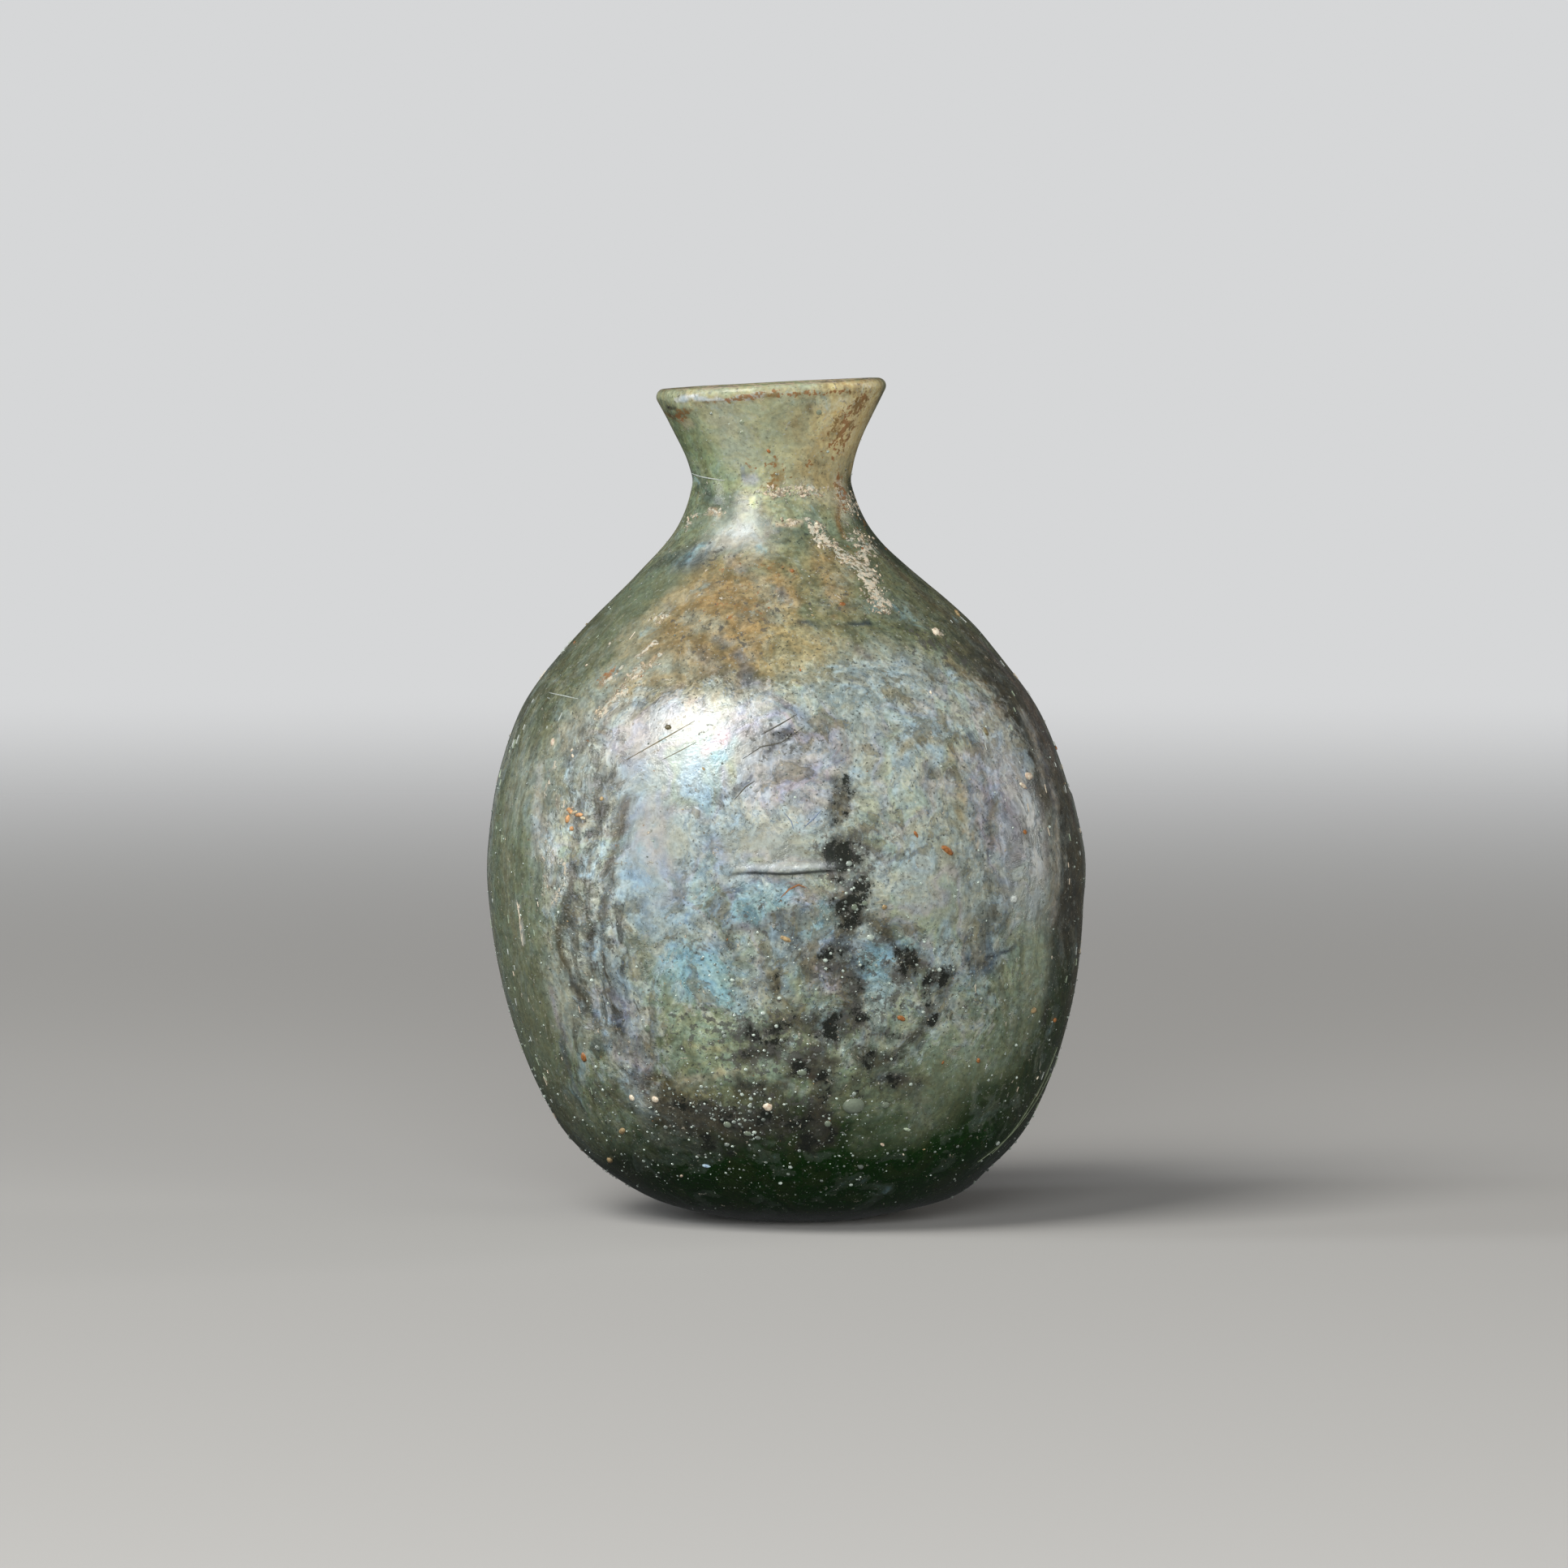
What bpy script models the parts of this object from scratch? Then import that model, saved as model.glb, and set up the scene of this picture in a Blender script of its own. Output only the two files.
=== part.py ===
"""A small free-blown glass flask: one empty vessel with walls of true thickness.

It has a pear-shaped body with a rounded heel, a short waisted neck and a funnel mouth with a
fire-rounded lip. It leans a little and its mouth is set askew, as hand-blown glass does.
Units are metres, +Z is up, and the origin is the middle of the flat spot that it stands on.
"""

import math

import bpy
from mathutils import Vector
from mathutils.geometry import interpolate_bezier

# Heights above the standing plane, and outside radii.
BASE_RADIUS = 0.0085
BELLY_HEIGHT = 0.0395
BELLY_RADIUS = 0.0358
WAIST_HEIGHT = 0.0878
WAIST_RADIUS = 0.0096
LIP_HEIGHT = 0.0985
LIP_RADIUS = 0.0137

# Wall thickness at four heights. It changes smoothly from one to the next.
BASE_WALL = 0.0034
BELLY_WALL = 0.0017
WAIST_WALL = 0.0023
LIP_WALL = 0.0021

# What the blower's hand left: the lean to the left, the tilt of the mouth, and the body's depth
# as a share of its width.
LEAN_DEG = 1.95
MOUTH_TILT_DEG = 3.0
DEPTH_SHARE = 0.985

# The form between two of the named places, as (share of the climb, share of the change in radius).
HEEL_FORM = [
    (0.049, 0.300),
    (0.099, 0.443),
    (0.197, 0.619),
    (0.296, 0.733),
    (0.494, 0.864),
    (0.734, 0.958),
]
SHOULDER_FORM = [
    (0.149, 0.019),
    (0.310, 0.084),
    (0.472, 0.210),
    (0.632, 0.445),
    (0.793, 0.756),
    (0.895, 0.924),
]
FUNNEL_FORM = [
    (0.217, 0.067),
    (0.434, 0.262),
    (0.720, 0.620),
]

# Gentle swellings (positive) and flats (negative) of the blown wall, as (azimuth in degrees from +X,
# height, radial size, reach round the body in degrees, reach in height). The heights are shares of
# the lip's height, and the sizes are shares of the belly's radius.
SWELLINGS = [
    (5, 0.025, 0.028, 40, 0.040),
    (180, 0.025, -0.011, 40, 0.040),
    (0, 0.447, 0.011, 35, 0.071),
    (20, 0.741, 0.020, 60, 0.081),
    (205, 0.711, -0.011, 50, 0.091),
    (300, 0.305, -0.011, 45, 0.122),
    (120, 0.355, 0.014, 50, 0.142),
    (0, 1.000, 0.008, 90, 0.061),
    (180, 1.000, -0.008, 90, 0.061),
]

# How finely the turned form is faceted.
SEGMENTS = 48
RING_SPACING = 0.0036
LIP_STEPS = 7
SCREW_MERGE = 0.00005

GLASS_COLOUR = (0.30, 0.38, 0.31, 1.0)
GLASS_ROUGHNESS = 0.28
GLASS_TRANSMISSION = 0.35
GLASS_IOR = 1.52


def clear_scene():
    for obj in list(bpy.data.objects):
        bpy.data.objects.remove(obj, do_unlink=True)


def new_collection(name):
    collection = bpy.data.collections.new(name)
    bpy.context.scene.collection.children.link(collection)
    return collection


def between(start, end, form):
    """The stations of one stretch of the outline, from its form's shares. Each is (radius, height)."""
    (start_radius, start_height), (end_radius, end_height) = start, end
    wider = end_radius - start_radius
    climb = end_height - start_height
    return [Vector((start_radius + across * wider, start_height + up * climb)) for up, across in form]


def outline_stations():
    """The outside from the edge of the flat spot up to the lip."""
    base = Vector((BASE_RADIUS, 0))
    belly = Vector((BELLY_RADIUS, BELLY_HEIGHT))
    waist = Vector((WAIST_RADIUS, WAIST_HEIGHT))
    lip = Vector((LIP_RADIUS, LIP_HEIGHT))
    return [
        base,
        *between(base, belly, HEEL_FORM),
        belly,
        *between(belly, waist, SHOULDER_FORM),
        waist,
        *between(waist, lip, FUNNEL_FORM),
        lip,
    ]


def smooth_curve(stations, spacing):
    """Points about that far apart along one smooth curve through the stations."""
    last = len(stations) - 1
    tangents = []
    for i in range(last + 1):
        before = stations[max(i - 1, 0)]
        after = stations[min(i + 1, last)]
        tangents.append((after - before).normalized())
    points = [stations[0]]
    for i in range(last):
        chord = (stations[i + 1] - stations[i]).length
        reach = chord / 3
        pieces = max(1, round(chord / spacing))
        drawn = interpolate_bezier(
            stations[i],
            stations[i] + tangents[i] * reach,
            stations[i + 1] - tangents[i + 1] * reach,
            stations[i + 1],
            pieces + 1,
        )
        points += [Vector(point[:2]) for point in drawn[1:]]
    return points


def ease(value, low, high):
    """0 below low, 1 above high and smooth between them."""
    share = min(1.0, max(0.0, (value - low) / (high - low)))
    return share * share * (3 - 2 * share)


def wall_at(height):
    """The wall's thickness at a height, from the four named ones."""
    thickness = BASE_WALL
    thickness += (BELLY_WALL - BASE_WALL) * ease(height, 0.0, BELLY_HEIGHT)
    thickness += (WAIST_WALL - BELLY_WALL) * ease(height, BELLY_HEIGHT, WAIST_HEIGHT)
    thickness += (LIP_WALL - WAIST_WALL) * ease(height, WAIST_HEIGHT, LIP_HEIGHT)
    return thickness


def inside_of(outside):
    """The inner face of the wall, from the middle of the floor up to the lip."""
    inner = []
    last = len(outside) - 1
    for i, point in enumerate(outside):
        before = outside[max(i - 1, 0)]
        after = outside[min(i + 1, last)]
        along = (after - before).normalized()
        inwards = Vector((-along.y, along.x))
        inner.append(point + inwards * wall_at(point.y))
    return [Vector((0, BASE_WALL))] + [point for point in inner if point.x > BASE_RADIUS / 3]


def rounded_lip(outer_end, inner_end):
    """The fire-rounded edge, a half circle from the outer face to the inner one."""
    middle = (outer_end + inner_end) / 2
    arm = outer_end - middle
    points = []
    for step in range(1, LIP_STEPS):
        angle = math.pi * step / LIP_STEPS
        across = arm.x * math.cos(angle) - arm.y * math.sin(angle)
        up = arm.x * math.sin(angle) + arm.y * math.cos(angle)
        points.append(middle + Vector((across, up)))
    return points


def wall_section():
    """The wall's section as one line: up the inside from the axis, over the lip and down the outside."""
    outside = smooth_curve(outline_stations(), RING_SPACING)
    inside = inside_of(outside)
    lip = rounded_lip(outside[-1], inside[-1])
    return [*inside, *reversed(lip), *reversed(outside), Vector((0, 0))]


def turned_mesh(section):
    """The section turned about +Z by a Screw modifier, as a closed mesh."""
    profile = bpy.data.meshes.new("wall_section")
    edges = [(i, i + 1) for i in range(len(section) - 1)]
    profile.from_pydata([(point.x, 0, point.y) for point in section], edges, [])
    holder = bpy.data.objects.new("wall_section", profile)
    bpy.context.scene.collection.objects.link(holder)

    screw = holder.modifiers.new("turn", "SCREW")
    screw.axis = "Z"
    screw.angle = 2 * math.pi
    screw.steps = SEGMENTS
    screw.render_steps = SEGMENTS
    screw.use_merge_vertices = True
    screw.merge_threshold = SCREW_MERGE

    graph = bpy.context.evaluated_depsgraph_get()
    mesh = bpy.data.meshes.new_from_object(holder.evaluated_get(graph))
    bpy.data.objects.remove(holder, do_unlink=True)
    return mesh


def bump(distance, reach):
    """1 in the middle, falling smoothly to 0 at the given reach."""
    share = min(1.0, abs(distance) / reach)
    return (1 - share * share) ** 2


def swelling_at(azimuth, height):
    """How far the blown wall stands out or in there, from all the swellings."""
    climbed = height / LIP_HEIGHT
    total = 0.0
    for middle, level, size, reach_round, reach_up in SWELLINGS:
        turn = (azimuth - middle + 180) % 360 - 180
        total += size * bump(turn, reach_round) * bump(climbed - level, reach_up)
    return total * BELLY_RADIUS


def blow(mesh):
    """Moves the turned form to its hand-blown one.

    Inside and outside move together, so the wall keeps its thickness.
    """
    lean = math.tan(math.radians(LEAN_DEG))
    tilt = math.tan(math.radians(MOUTH_TILT_DEG))
    for vertex in mesh.vertices:
        x, y, z = vertex.co
        radius = math.hypot(x, y)
        if radius > BASE_RADIUS / 2:
            push = swelling_at(math.degrees(math.atan2(y, x)), z) / radius
            x += x * push
            y += y * push
        raised = z + tilt * x * ease(z, WAIST_HEIGHT, LIP_HEIGHT)
        vertex.co = (x - lean * z, y * DEPTH_SHARE, raised)


def glass_material():
    material = bpy.data.materials.new("weathered glass")
    material.use_nodes = True
    shader = material.node_tree.nodes["Principled BSDF"]
    shader.inputs["Base Color"].default_value = GLASS_COLOUR
    shader.inputs["Roughness"].default_value = GLASS_ROUGHNESS
    shader.inputs["Metallic"].default_value = 0.0
    shader.inputs["Transmission Weight"].default_value = GLASS_TRANSMISSION
    shader.inputs["IOR"].default_value = GLASS_IOR
    return material


def build_flask(collection):
    mesh = turned_mesh(wall_section())
    mesh.name = "flask"
    blow(mesh)
    mesh.shade_smooth()
    mesh.materials.append(glass_material())
    flask = bpy.data.objects.new("flask", mesh)
    collection.objects.link(flask)
    return flask


def main():
    clear_scene()
    build_flask(new_collection("glass flask"))


main()
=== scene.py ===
"""The ancient glass flask as it was found: blown green glass, seed bubbles and a patchy weathering film.

Lengths are in metres. Places on the flask's face are given as columns and rows of the photograph's
1932 x 1932 frame, and are carried on to the curved wall, so that they hold from every side.
"""

import math

import bpy
import numpy as np
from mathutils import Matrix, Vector, noise
from mathutils.geometry import interpolate_bezier


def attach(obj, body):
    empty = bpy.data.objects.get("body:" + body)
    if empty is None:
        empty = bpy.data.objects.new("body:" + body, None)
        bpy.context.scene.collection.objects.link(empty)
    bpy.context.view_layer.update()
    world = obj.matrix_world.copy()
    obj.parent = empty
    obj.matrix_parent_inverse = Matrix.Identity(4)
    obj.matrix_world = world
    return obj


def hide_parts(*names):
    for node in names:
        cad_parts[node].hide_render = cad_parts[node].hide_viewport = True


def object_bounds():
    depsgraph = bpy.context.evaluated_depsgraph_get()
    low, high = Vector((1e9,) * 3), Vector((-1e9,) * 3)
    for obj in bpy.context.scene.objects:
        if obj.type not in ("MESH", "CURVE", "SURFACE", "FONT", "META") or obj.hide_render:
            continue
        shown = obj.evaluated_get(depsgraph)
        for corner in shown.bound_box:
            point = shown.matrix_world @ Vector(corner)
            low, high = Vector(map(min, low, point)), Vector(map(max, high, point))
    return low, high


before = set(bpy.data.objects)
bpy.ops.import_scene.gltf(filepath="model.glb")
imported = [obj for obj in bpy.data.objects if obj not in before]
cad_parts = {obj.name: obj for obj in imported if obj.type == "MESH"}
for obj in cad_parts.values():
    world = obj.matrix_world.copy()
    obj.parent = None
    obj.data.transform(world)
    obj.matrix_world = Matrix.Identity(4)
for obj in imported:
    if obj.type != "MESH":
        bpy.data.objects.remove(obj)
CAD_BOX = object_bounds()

# The blown form, with the same sizes as the solid.
BASE_RADIUS = 0.0085
BELLY_HEIGHT = 0.0395
BELLY_RADIUS = 0.0358
WAIST_HEIGHT = 0.0878
WAIST_RADIUS = 0.0096
LIP_HEIGHT = 0.0985
LIP_RADIUS = 0.0137
BASE_WALL = 0.0034
BELLY_WALL = 0.0017
WAIST_WALL = 0.0023
LIP_WALL = 0.0021
LEAN = math.tan(math.radians(1.95))
MOUTH_TILT = math.tan(math.radians(3.0))
DEPTH_SHARE = 0.985
HEEL_FORM = [
    (0.049, 0.300),
    (0.099, 0.443),
    (0.197, 0.619),
    (0.296, 0.733),
    (0.494, 0.864),
    (0.734, 0.958),
]
SHOULDER_FORM = [
    (0.149, 0.019),
    (0.310, 0.084),
    (0.472, 0.210),
    (0.632, 0.445),
    (0.793, 0.756),
    (0.895, 0.924),
]
FUNNEL_FORM = [
    (0.217, 0.067),
    (0.434, 0.262),
    (0.720, 0.620),
]
SWELLINGS = [
    (5, 0.025, 0.028, 40, 0.040),
    (180, 0.025, -0.011, 40, 0.040),
    (0, 0.447, 0.011, 35, 0.071),
    (20, 0.741, 0.020, 60, 0.081),
    (205, 0.711, -0.011, 50, 0.091),
    (300, 0.305, -0.011, 45, 0.122),
    (120, 0.355, 0.014, 50, 0.142),
    (0, 1.000, 0.008, 90, 0.061),
    (180, 1.000, -0.008, 90, 0.061),
]

# The camera, and the photograph's frame at the flask: the flask's foot is at this column and row.
PIXEL = 0.0000973
FRAME_PIXELS = 1932
FOOT_COLUMN = 982
FOOT_ROW = 1500
CAMERA_DISTANCE = 1.1
CAMERA_ELEVATION = math.radians(3.0)
SENSOR_MM = 36.0

# How finely the wall is drawn. Columns crowd towards the front, which the photograph shows.
COLUMNS = 292
CROWDING = 0.60
COARSE_STEP = 4
FINE_SPACING = 0.00047
COARSE_SPACING = 0.0024
MOUTH_DEPTH = 0.012
LIP_STEPS = 12
CURVE_PIECES = 24

# Colours of the weathered glass, as light reflected. A few are also laid as painted highlights,
# sheen and shade, where the lists below say so.
DEEP_GREEN = (0.009, 0.050, 0.005)
DARK_GREEN = (0.046, 0.070, 0.034)
DARK_GLASS = (0.045, 0.052, 0.045)
OLIVE = (0.165, 0.185, 0.115)
GREY_GREEN = (0.190, 0.230, 0.150)
CREAM_GREEN = (0.330, 0.400, 0.290)
MILK_GREEN = (0.410, 0.425, 0.275)
FLANK_GREEN = (0.230, 0.290, 0.160)
NECK_TAN = (0.770, 0.630, 0.340)
OCHRE = (0.336, 0.246, 0.128)
PALE_OCHRE = (0.400, 0.340, 0.190)
SILVER = (0.430, 0.470, 0.440)
WARM_GREY = (0.355, 0.385, 0.325)
LILAC = (0.390, 0.375, 0.460)
PALE_BLUE = (0.350, 0.480, 0.580)
SLATE = (0.155, 0.205, 0.275)
TEAL = (0.270, 0.450, 0.510)
DUSK = (0.080, 0.078, 0.064)
UMBER = (0.150, 0.128, 0.070)
RUST = (0.270, 0.115, 0.040)
ORANGE = (0.500, 0.270, 0.120)
LIME_CRUST = (0.600, 0.520, 0.400)
LIME_WHITE_AND_HIGHLIGHT = (0.620, 0.680, 0.720)
GRAPHITE = (0.105, 0.105, 0.095)
SMOKE = (0.050, 0.048, 0.040)
NAVY = (0.032, 0.045, 0.070)
STEEL = (0.120, 0.160, 0.225)
BEIGE = (0.500, 0.475, 0.430)
SAND = (0.520, 0.460, 0.310)
PINK_GREY = (0.200, 0.168, 0.150)
PURPLE_GREY = (0.230, 0.220, 0.235)
STAIN_BROWN = (0.200, 0.120, 0.042)
PINK_TAN = (0.520, 0.400, 0.280)
SLATE_GREEN = (0.085, 0.110, 0.088)
OLIVE_BROWN = (0.110, 0.098, 0.064)
MAROON = (0.100, 0.045, 0.045)
PEARL_PINK = (0.800, 0.560, 0.660)
PEARL_CYAN = (0.520, 0.700, 0.760)
PEARL_YELLOW = (0.560, 0.600, 0.300)


def ease(value, low, high):
    """0 below low, 1 above high and smooth between them."""
    share = np.clip((value - low) / (high - low), 0.0, 1.0)
    return share * share * (3 - 2 * share)


def bump(distance, reach):
    """1 in the middle, falling smoothly to 0 at the given reach."""
    share = np.minimum(1.0, np.abs(distance) / reach)
    return (1 - share * share) ** 2


def hill(distance, reach):
    """1 at no distance, falling away on both sides like a bell."""
    return np.exp(-((distance / reach) ** 2))


def turn_from(azimuth, middle):
    """How far round the wall the azimuths lie from a middle one, up to half a turn either way."""
    return (azimuth - middle + math.pi) % (2 * math.pi) - math.pi


def rough_field(points, scale, seed, octaves=3):
    """Fractal noise of about -1 to 1 at each point."""
    offset = Vector((seed * 7.31, seed * 3.17, seed * 5.73))
    values = np.empty(len(points))
    for i, point in enumerate(points):
        place = Vector(point) * scale + offset
        values[i] = noise.fractal(place, 1.0, 2.0, octaves)
    return values


# The outline

def between(start, end, form):
    """The stations of one stretch of the outline, from its form's shares. Each is (radius, height)."""
    wider = end[0] - start[0]
    climb = end[1] - start[1]
    return [Vector((start[0] + across * wider, start[1] + up * climb)) for up, across in form]


def outline_stations():
    """The outside from the edge of the flat spot up to the lip."""
    base = Vector((BASE_RADIUS, 0))
    belly = Vector((BELLY_RADIUS, BELLY_HEIGHT))
    waist = Vector((WAIST_RADIUS, WAIST_HEIGHT))
    lip = Vector((LIP_RADIUS, LIP_HEIGHT))
    return [
        base,
        *between(base, belly, HEEL_FORM),
        belly,
        *between(belly, waist, SHOULDER_FORM),
        waist,
        *between(waist, lip, FUNNEL_FORM),
        lip,
    ]


def smooth_curve(stations, pieces):
    """Points along one smooth curve through the stations, with so many pieces to each stretch."""
    last = len(stations) - 1
    tangents = []
    for i in range(last + 1):
        before = stations[max(i - 1, 0)]
        after = stations[min(i + 1, last)]
        tangents.append((after - before).normalized())
    points = [tuple(stations[0])]
    for i in range(last):
        reach = (stations[i + 1] - stations[i]).length / 3
        drawn = interpolate_bezier(
            stations[i],
            stations[i] + tangents[i] * reach,
            stations[i + 1] - tangents[i + 1] * reach,
            stations[i + 1],
            pieces + 1,
        )
        points += [tuple(point[:2]) for point in drawn[1:]]
    return np.array(points)


def arc_of(line):
    """The length along a line of points up to each of them."""
    steps = np.hypot(*np.diff(line, axis=0).T)
    return np.concatenate([[0.0], np.cumsum(steps)])


def wall_at(height):
    """The wall's thickness at a height, from the four named ones."""
    thickness = BASE_WALL + (BELLY_WALL - BASE_WALL) * ease(height, 0.0, BELLY_HEIGHT)
    thickness += (WAIST_WALL - BELLY_WALL) * ease(height, BELLY_HEIGHT, WAIST_HEIGHT)
    return thickness + (LIP_WALL - WAIST_WALL) * ease(height, WAIST_HEIGHT, LIP_HEIGHT)


OUTSIDE = smooth_curve(outline_stations(), CURVE_PIECES)
OUTSIDE_ARC = arc_of(OUTSIDE) + BASE_RADIUS
ALONG = np.gradient(OUTSIDE, axis=0)
ALONG /= np.hypot(*ALONG.T)[:, None]
INWARDS = np.stack([-ALONG[:, 1], ALONG[:, 0]], axis=1)


def radius_at(height):
    return np.interp(height, OUTSIDE[:, 1], OUTSIDE[:, 0])


def arc_at(height):
    return np.interp(height, OUTSIDE[:, 1], OUTSIDE_ARC)


def facing_out_at(height):
    """The outward share of the wall's normal: 1 where the wall is upright."""
    return np.interp(height, OUTSIDE[:, 1], -INWARDS[:, 0])


def hand_moved(points):
    """The turned form leaned, swollen and tilted as the blower's hand left it."""
    x, y, z = points.T
    radius = np.hypot(x, y)
    azimuth = np.degrees(np.arctan2(y, x))
    push = np.zeros(len(points))
    for middle, level, size, reach_round, reach_up in SWELLINGS:
        turn = (azimuth - middle + 180) % 360 - 180
        push += size * bump(turn, reach_round) * bump(z / LIP_HEIGHT - level, reach_up)
    grown = np.where(radius > BASE_RADIUS / 2, 1 + push * BELLY_RADIUS / np.maximum(radius, 1e-4), 1.0)
    x = x * grown
    y = y * grown
    raised = z + MOUTH_TILT * x * ease(z, WAIST_HEIGHT, LIP_HEIGHT)
    return np.stack([x - LEAN * z, y * DEPTH_SHARE, raised], axis=1)


# From the photograph's frame to the wall

TARGET = np.array([(FRAME_PIXELS / 2 - FOOT_COLUMN) * PIXEL, 0.0, (FOOT_ROW - FRAME_PIXELS / 2) * PIXEL])
LOOKING = np.array([0.0, math.cos(CAMERA_ELEVATION), -math.sin(CAMERA_ELEVATION)])
UPWARDS = np.array([0.0, math.sin(CAMERA_ELEVATION), math.cos(CAMERA_ELEVATION)])
EYE = TARGET - LOOKING * CAMERA_DISTANCE

# How the wall behind a place in the frame is found: how often the guess is bettered, the first guess
# at its depth, the lowest height, and how near to the outline's edge a place may lie.
SPOT_ROUNDS = 12
FIRST_DEPTH = -0.02
LOWEST_SPOT = 0.0005
EDGE_SHARE = 0.985


def spot(column, row):
    """The azimuth and height, on the turned form, of the front wall at a column and row."""
    across = (column - FRAME_PIXELS / 2) * PIXEL
    up = (FRAME_PIXELS / 2 - row) * PIXEL
    ray = LOOKING * CAMERA_DISTANCE + np.array([across, 0.0, 0.0]) + UPWARDS * up
    depth = FIRST_DEPTH
    for _ in range(SPOT_ROUNDS):
        place = EYE + ray * ((depth - EYE[1]) / ray[1])
        height = min(max(place[2], LOWEST_SPOT), LIP_HEIGHT)
        side = place[0] + LEAN * height
        radius = radius_at(height)
        side = min(max(side, -EDGE_SHARE * radius), EDGE_SHARE * radius)
        depth = 0.5 * depth - 0.5 * math.sqrt(radius * radius - side * side) * DEPTH_SHARE
    return math.atan2(depth / DEPTH_SHARE, side), height


# How painted shapes sit on the wall. Their edges wander by these lengths in metres, by noise with so
# many bumps to the metre. On a wall that turns away, a shape is widened, but only up to a limit. From
# its core to its edge, in shares of its half size, it fades.
WIDE_WANDER = 0.0009
WIDE_SCALE = 160
FINE_WANDER = 0.0004
FINE_SCALE = 620
FRAY_SCALE = 800
PATCHY_SCALE = 420
LEAST_FACING_ROUND = 0.35
LEAST_FACING_UP = 0.45
PATCH_CORE = 0.35
PATCH_EDGE = 1.65
STROKE_CORE = 0.35
STROKE_EDGE = 1.45
STROKE_WANDER = 0.6
STROKE_RAGGED = 0.7


def wander(points, seed):
    """How far a painted edge strays at each point, in metres."""
    wide = WIDE_WANDER * rough_field(points, WIDE_SCALE, seed)
    return wide + FINE_WANDER * rough_field(points, FINE_SCALE, seed + 1, 2)


class Skin:
    """The places of the outer wall's points, for painting on it."""

    def __init__(self, azimuth, height, arc, points):
        self.azimuth = azimuth
        self.height = height
        self.arc = arc
        self.radius = radius_at(height)
        self.drift_round = wander(points, 1)
        self.drift_up = wander(points, 3)
        self.frayed = rough_field(points, FRAY_SCALE, 5, 2)
        self.patchy = rough_field(points, PATCHY_SCALE, 6, 2)

    def ellipse(self, column, row, half_wide, half_high, turn=0.0, loose=1.0):
        """How far each point is from a patch, as a share of the patch's own half sizes."""
        azimuth, height = spot(column, row)
        wide = half_wide * PIXEL / max(LEAST_FACING_ROUND, -math.sin(azimuth))
        high = half_high * PIXEL / max(LEAST_FACING_UP, facing_out_at(height))
        round_it = turn_from(self.azimuth, azimuth) * self.radius + loose * self.drift_round
        up_it = self.arc - arc_at(height) + loose * self.drift_up
        cosine = math.cos(math.radians(turn))
        sine = math.sin(math.radians(turn))
        along = (round_it * cosine + up_it * sine) / wide
        over = (up_it * cosine - round_it * sine) / high
        return np.hypot(along, over)

    def patches(self, listed, loose=1.0):
        """One field from a list of patches: over 0.5 inside them, falling away smoothly."""
        field = np.zeros(len(self.azimuth))
        for column, row, half_wide, half_high, turn, strength in listed:
            away = self.ellipse(column, row, half_wide, half_high, turn, loose)
            field = np.maximum(field, strength * (1 - ease(away, PATCH_CORE, PATCH_EDGE)))
        return field

    def chains(self, listed):
        """One field from a list of paths, each with its half width and strength."""
        field = np.zeros(len(self.azimuth))
        for half_width, strength, path in listed:
            field = np.maximum(field, strength * self.stroke(path, half_width))
        return field

    def stroke(self, path, half_width):
        """1 along a path on the wall, falling to 0 past its half width."""
        places = [spot(column, row) for column, row in path]
        middle = places[len(places) // 2][0]
        radius = radius_at(np.mean([height for _, height in places]))
        line = np.array([((azimuth - middle) * radius, arc_at(height)) for azimuth, height in places])
        wide = half_width * PIXEL
        round_it = turn_from(self.azimuth, middle) * radius + STROKE_WANDER * self.drift_round
        here = np.stack([round_it, self.arc + STROKE_WANDER * self.drift_up], axis=1)
        low = line.min(axis=0) - 2 * wide
        high = line.max(axis=0) + 2 * wide
        near = np.flatnonzero(((here > low) & (here < high)).all(axis=1))
        nearest = np.full(len(near), np.inf)
        for start, end in zip(line[:-1], line[1:]):
            along = end - start
            share = np.clip((here[near] - start) @ along / (along @ along), 0.0, 1.0)
            gap = here[near] - start - share[:, None] * along
            nearest = np.minimum(nearest, np.hypot(*gap.T))
        edge = nearest / wide * (1 + STROKE_RAGGED * self.frayed[near])
        cover = np.clip(1 + STROKE_RAGGED * self.patchy[near], 0.0, 1.0)
        weight = np.zeros(len(self.azimuth))
        weight[near] = (1 - ease(edge, STROKE_CORE, STROKE_EDGE)) * cover
        return weight

    def turned_points(self):
        """Points on the turned form, for noise that has no seam."""
        x = self.radius * np.cos(self.azimuth)
        y = self.radius * np.sin(self.azimuth)
        return np.stack([x, y, self.height], axis=1)


# What the photograph shows on the wall. All places are columns and rows of its frame.

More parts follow.
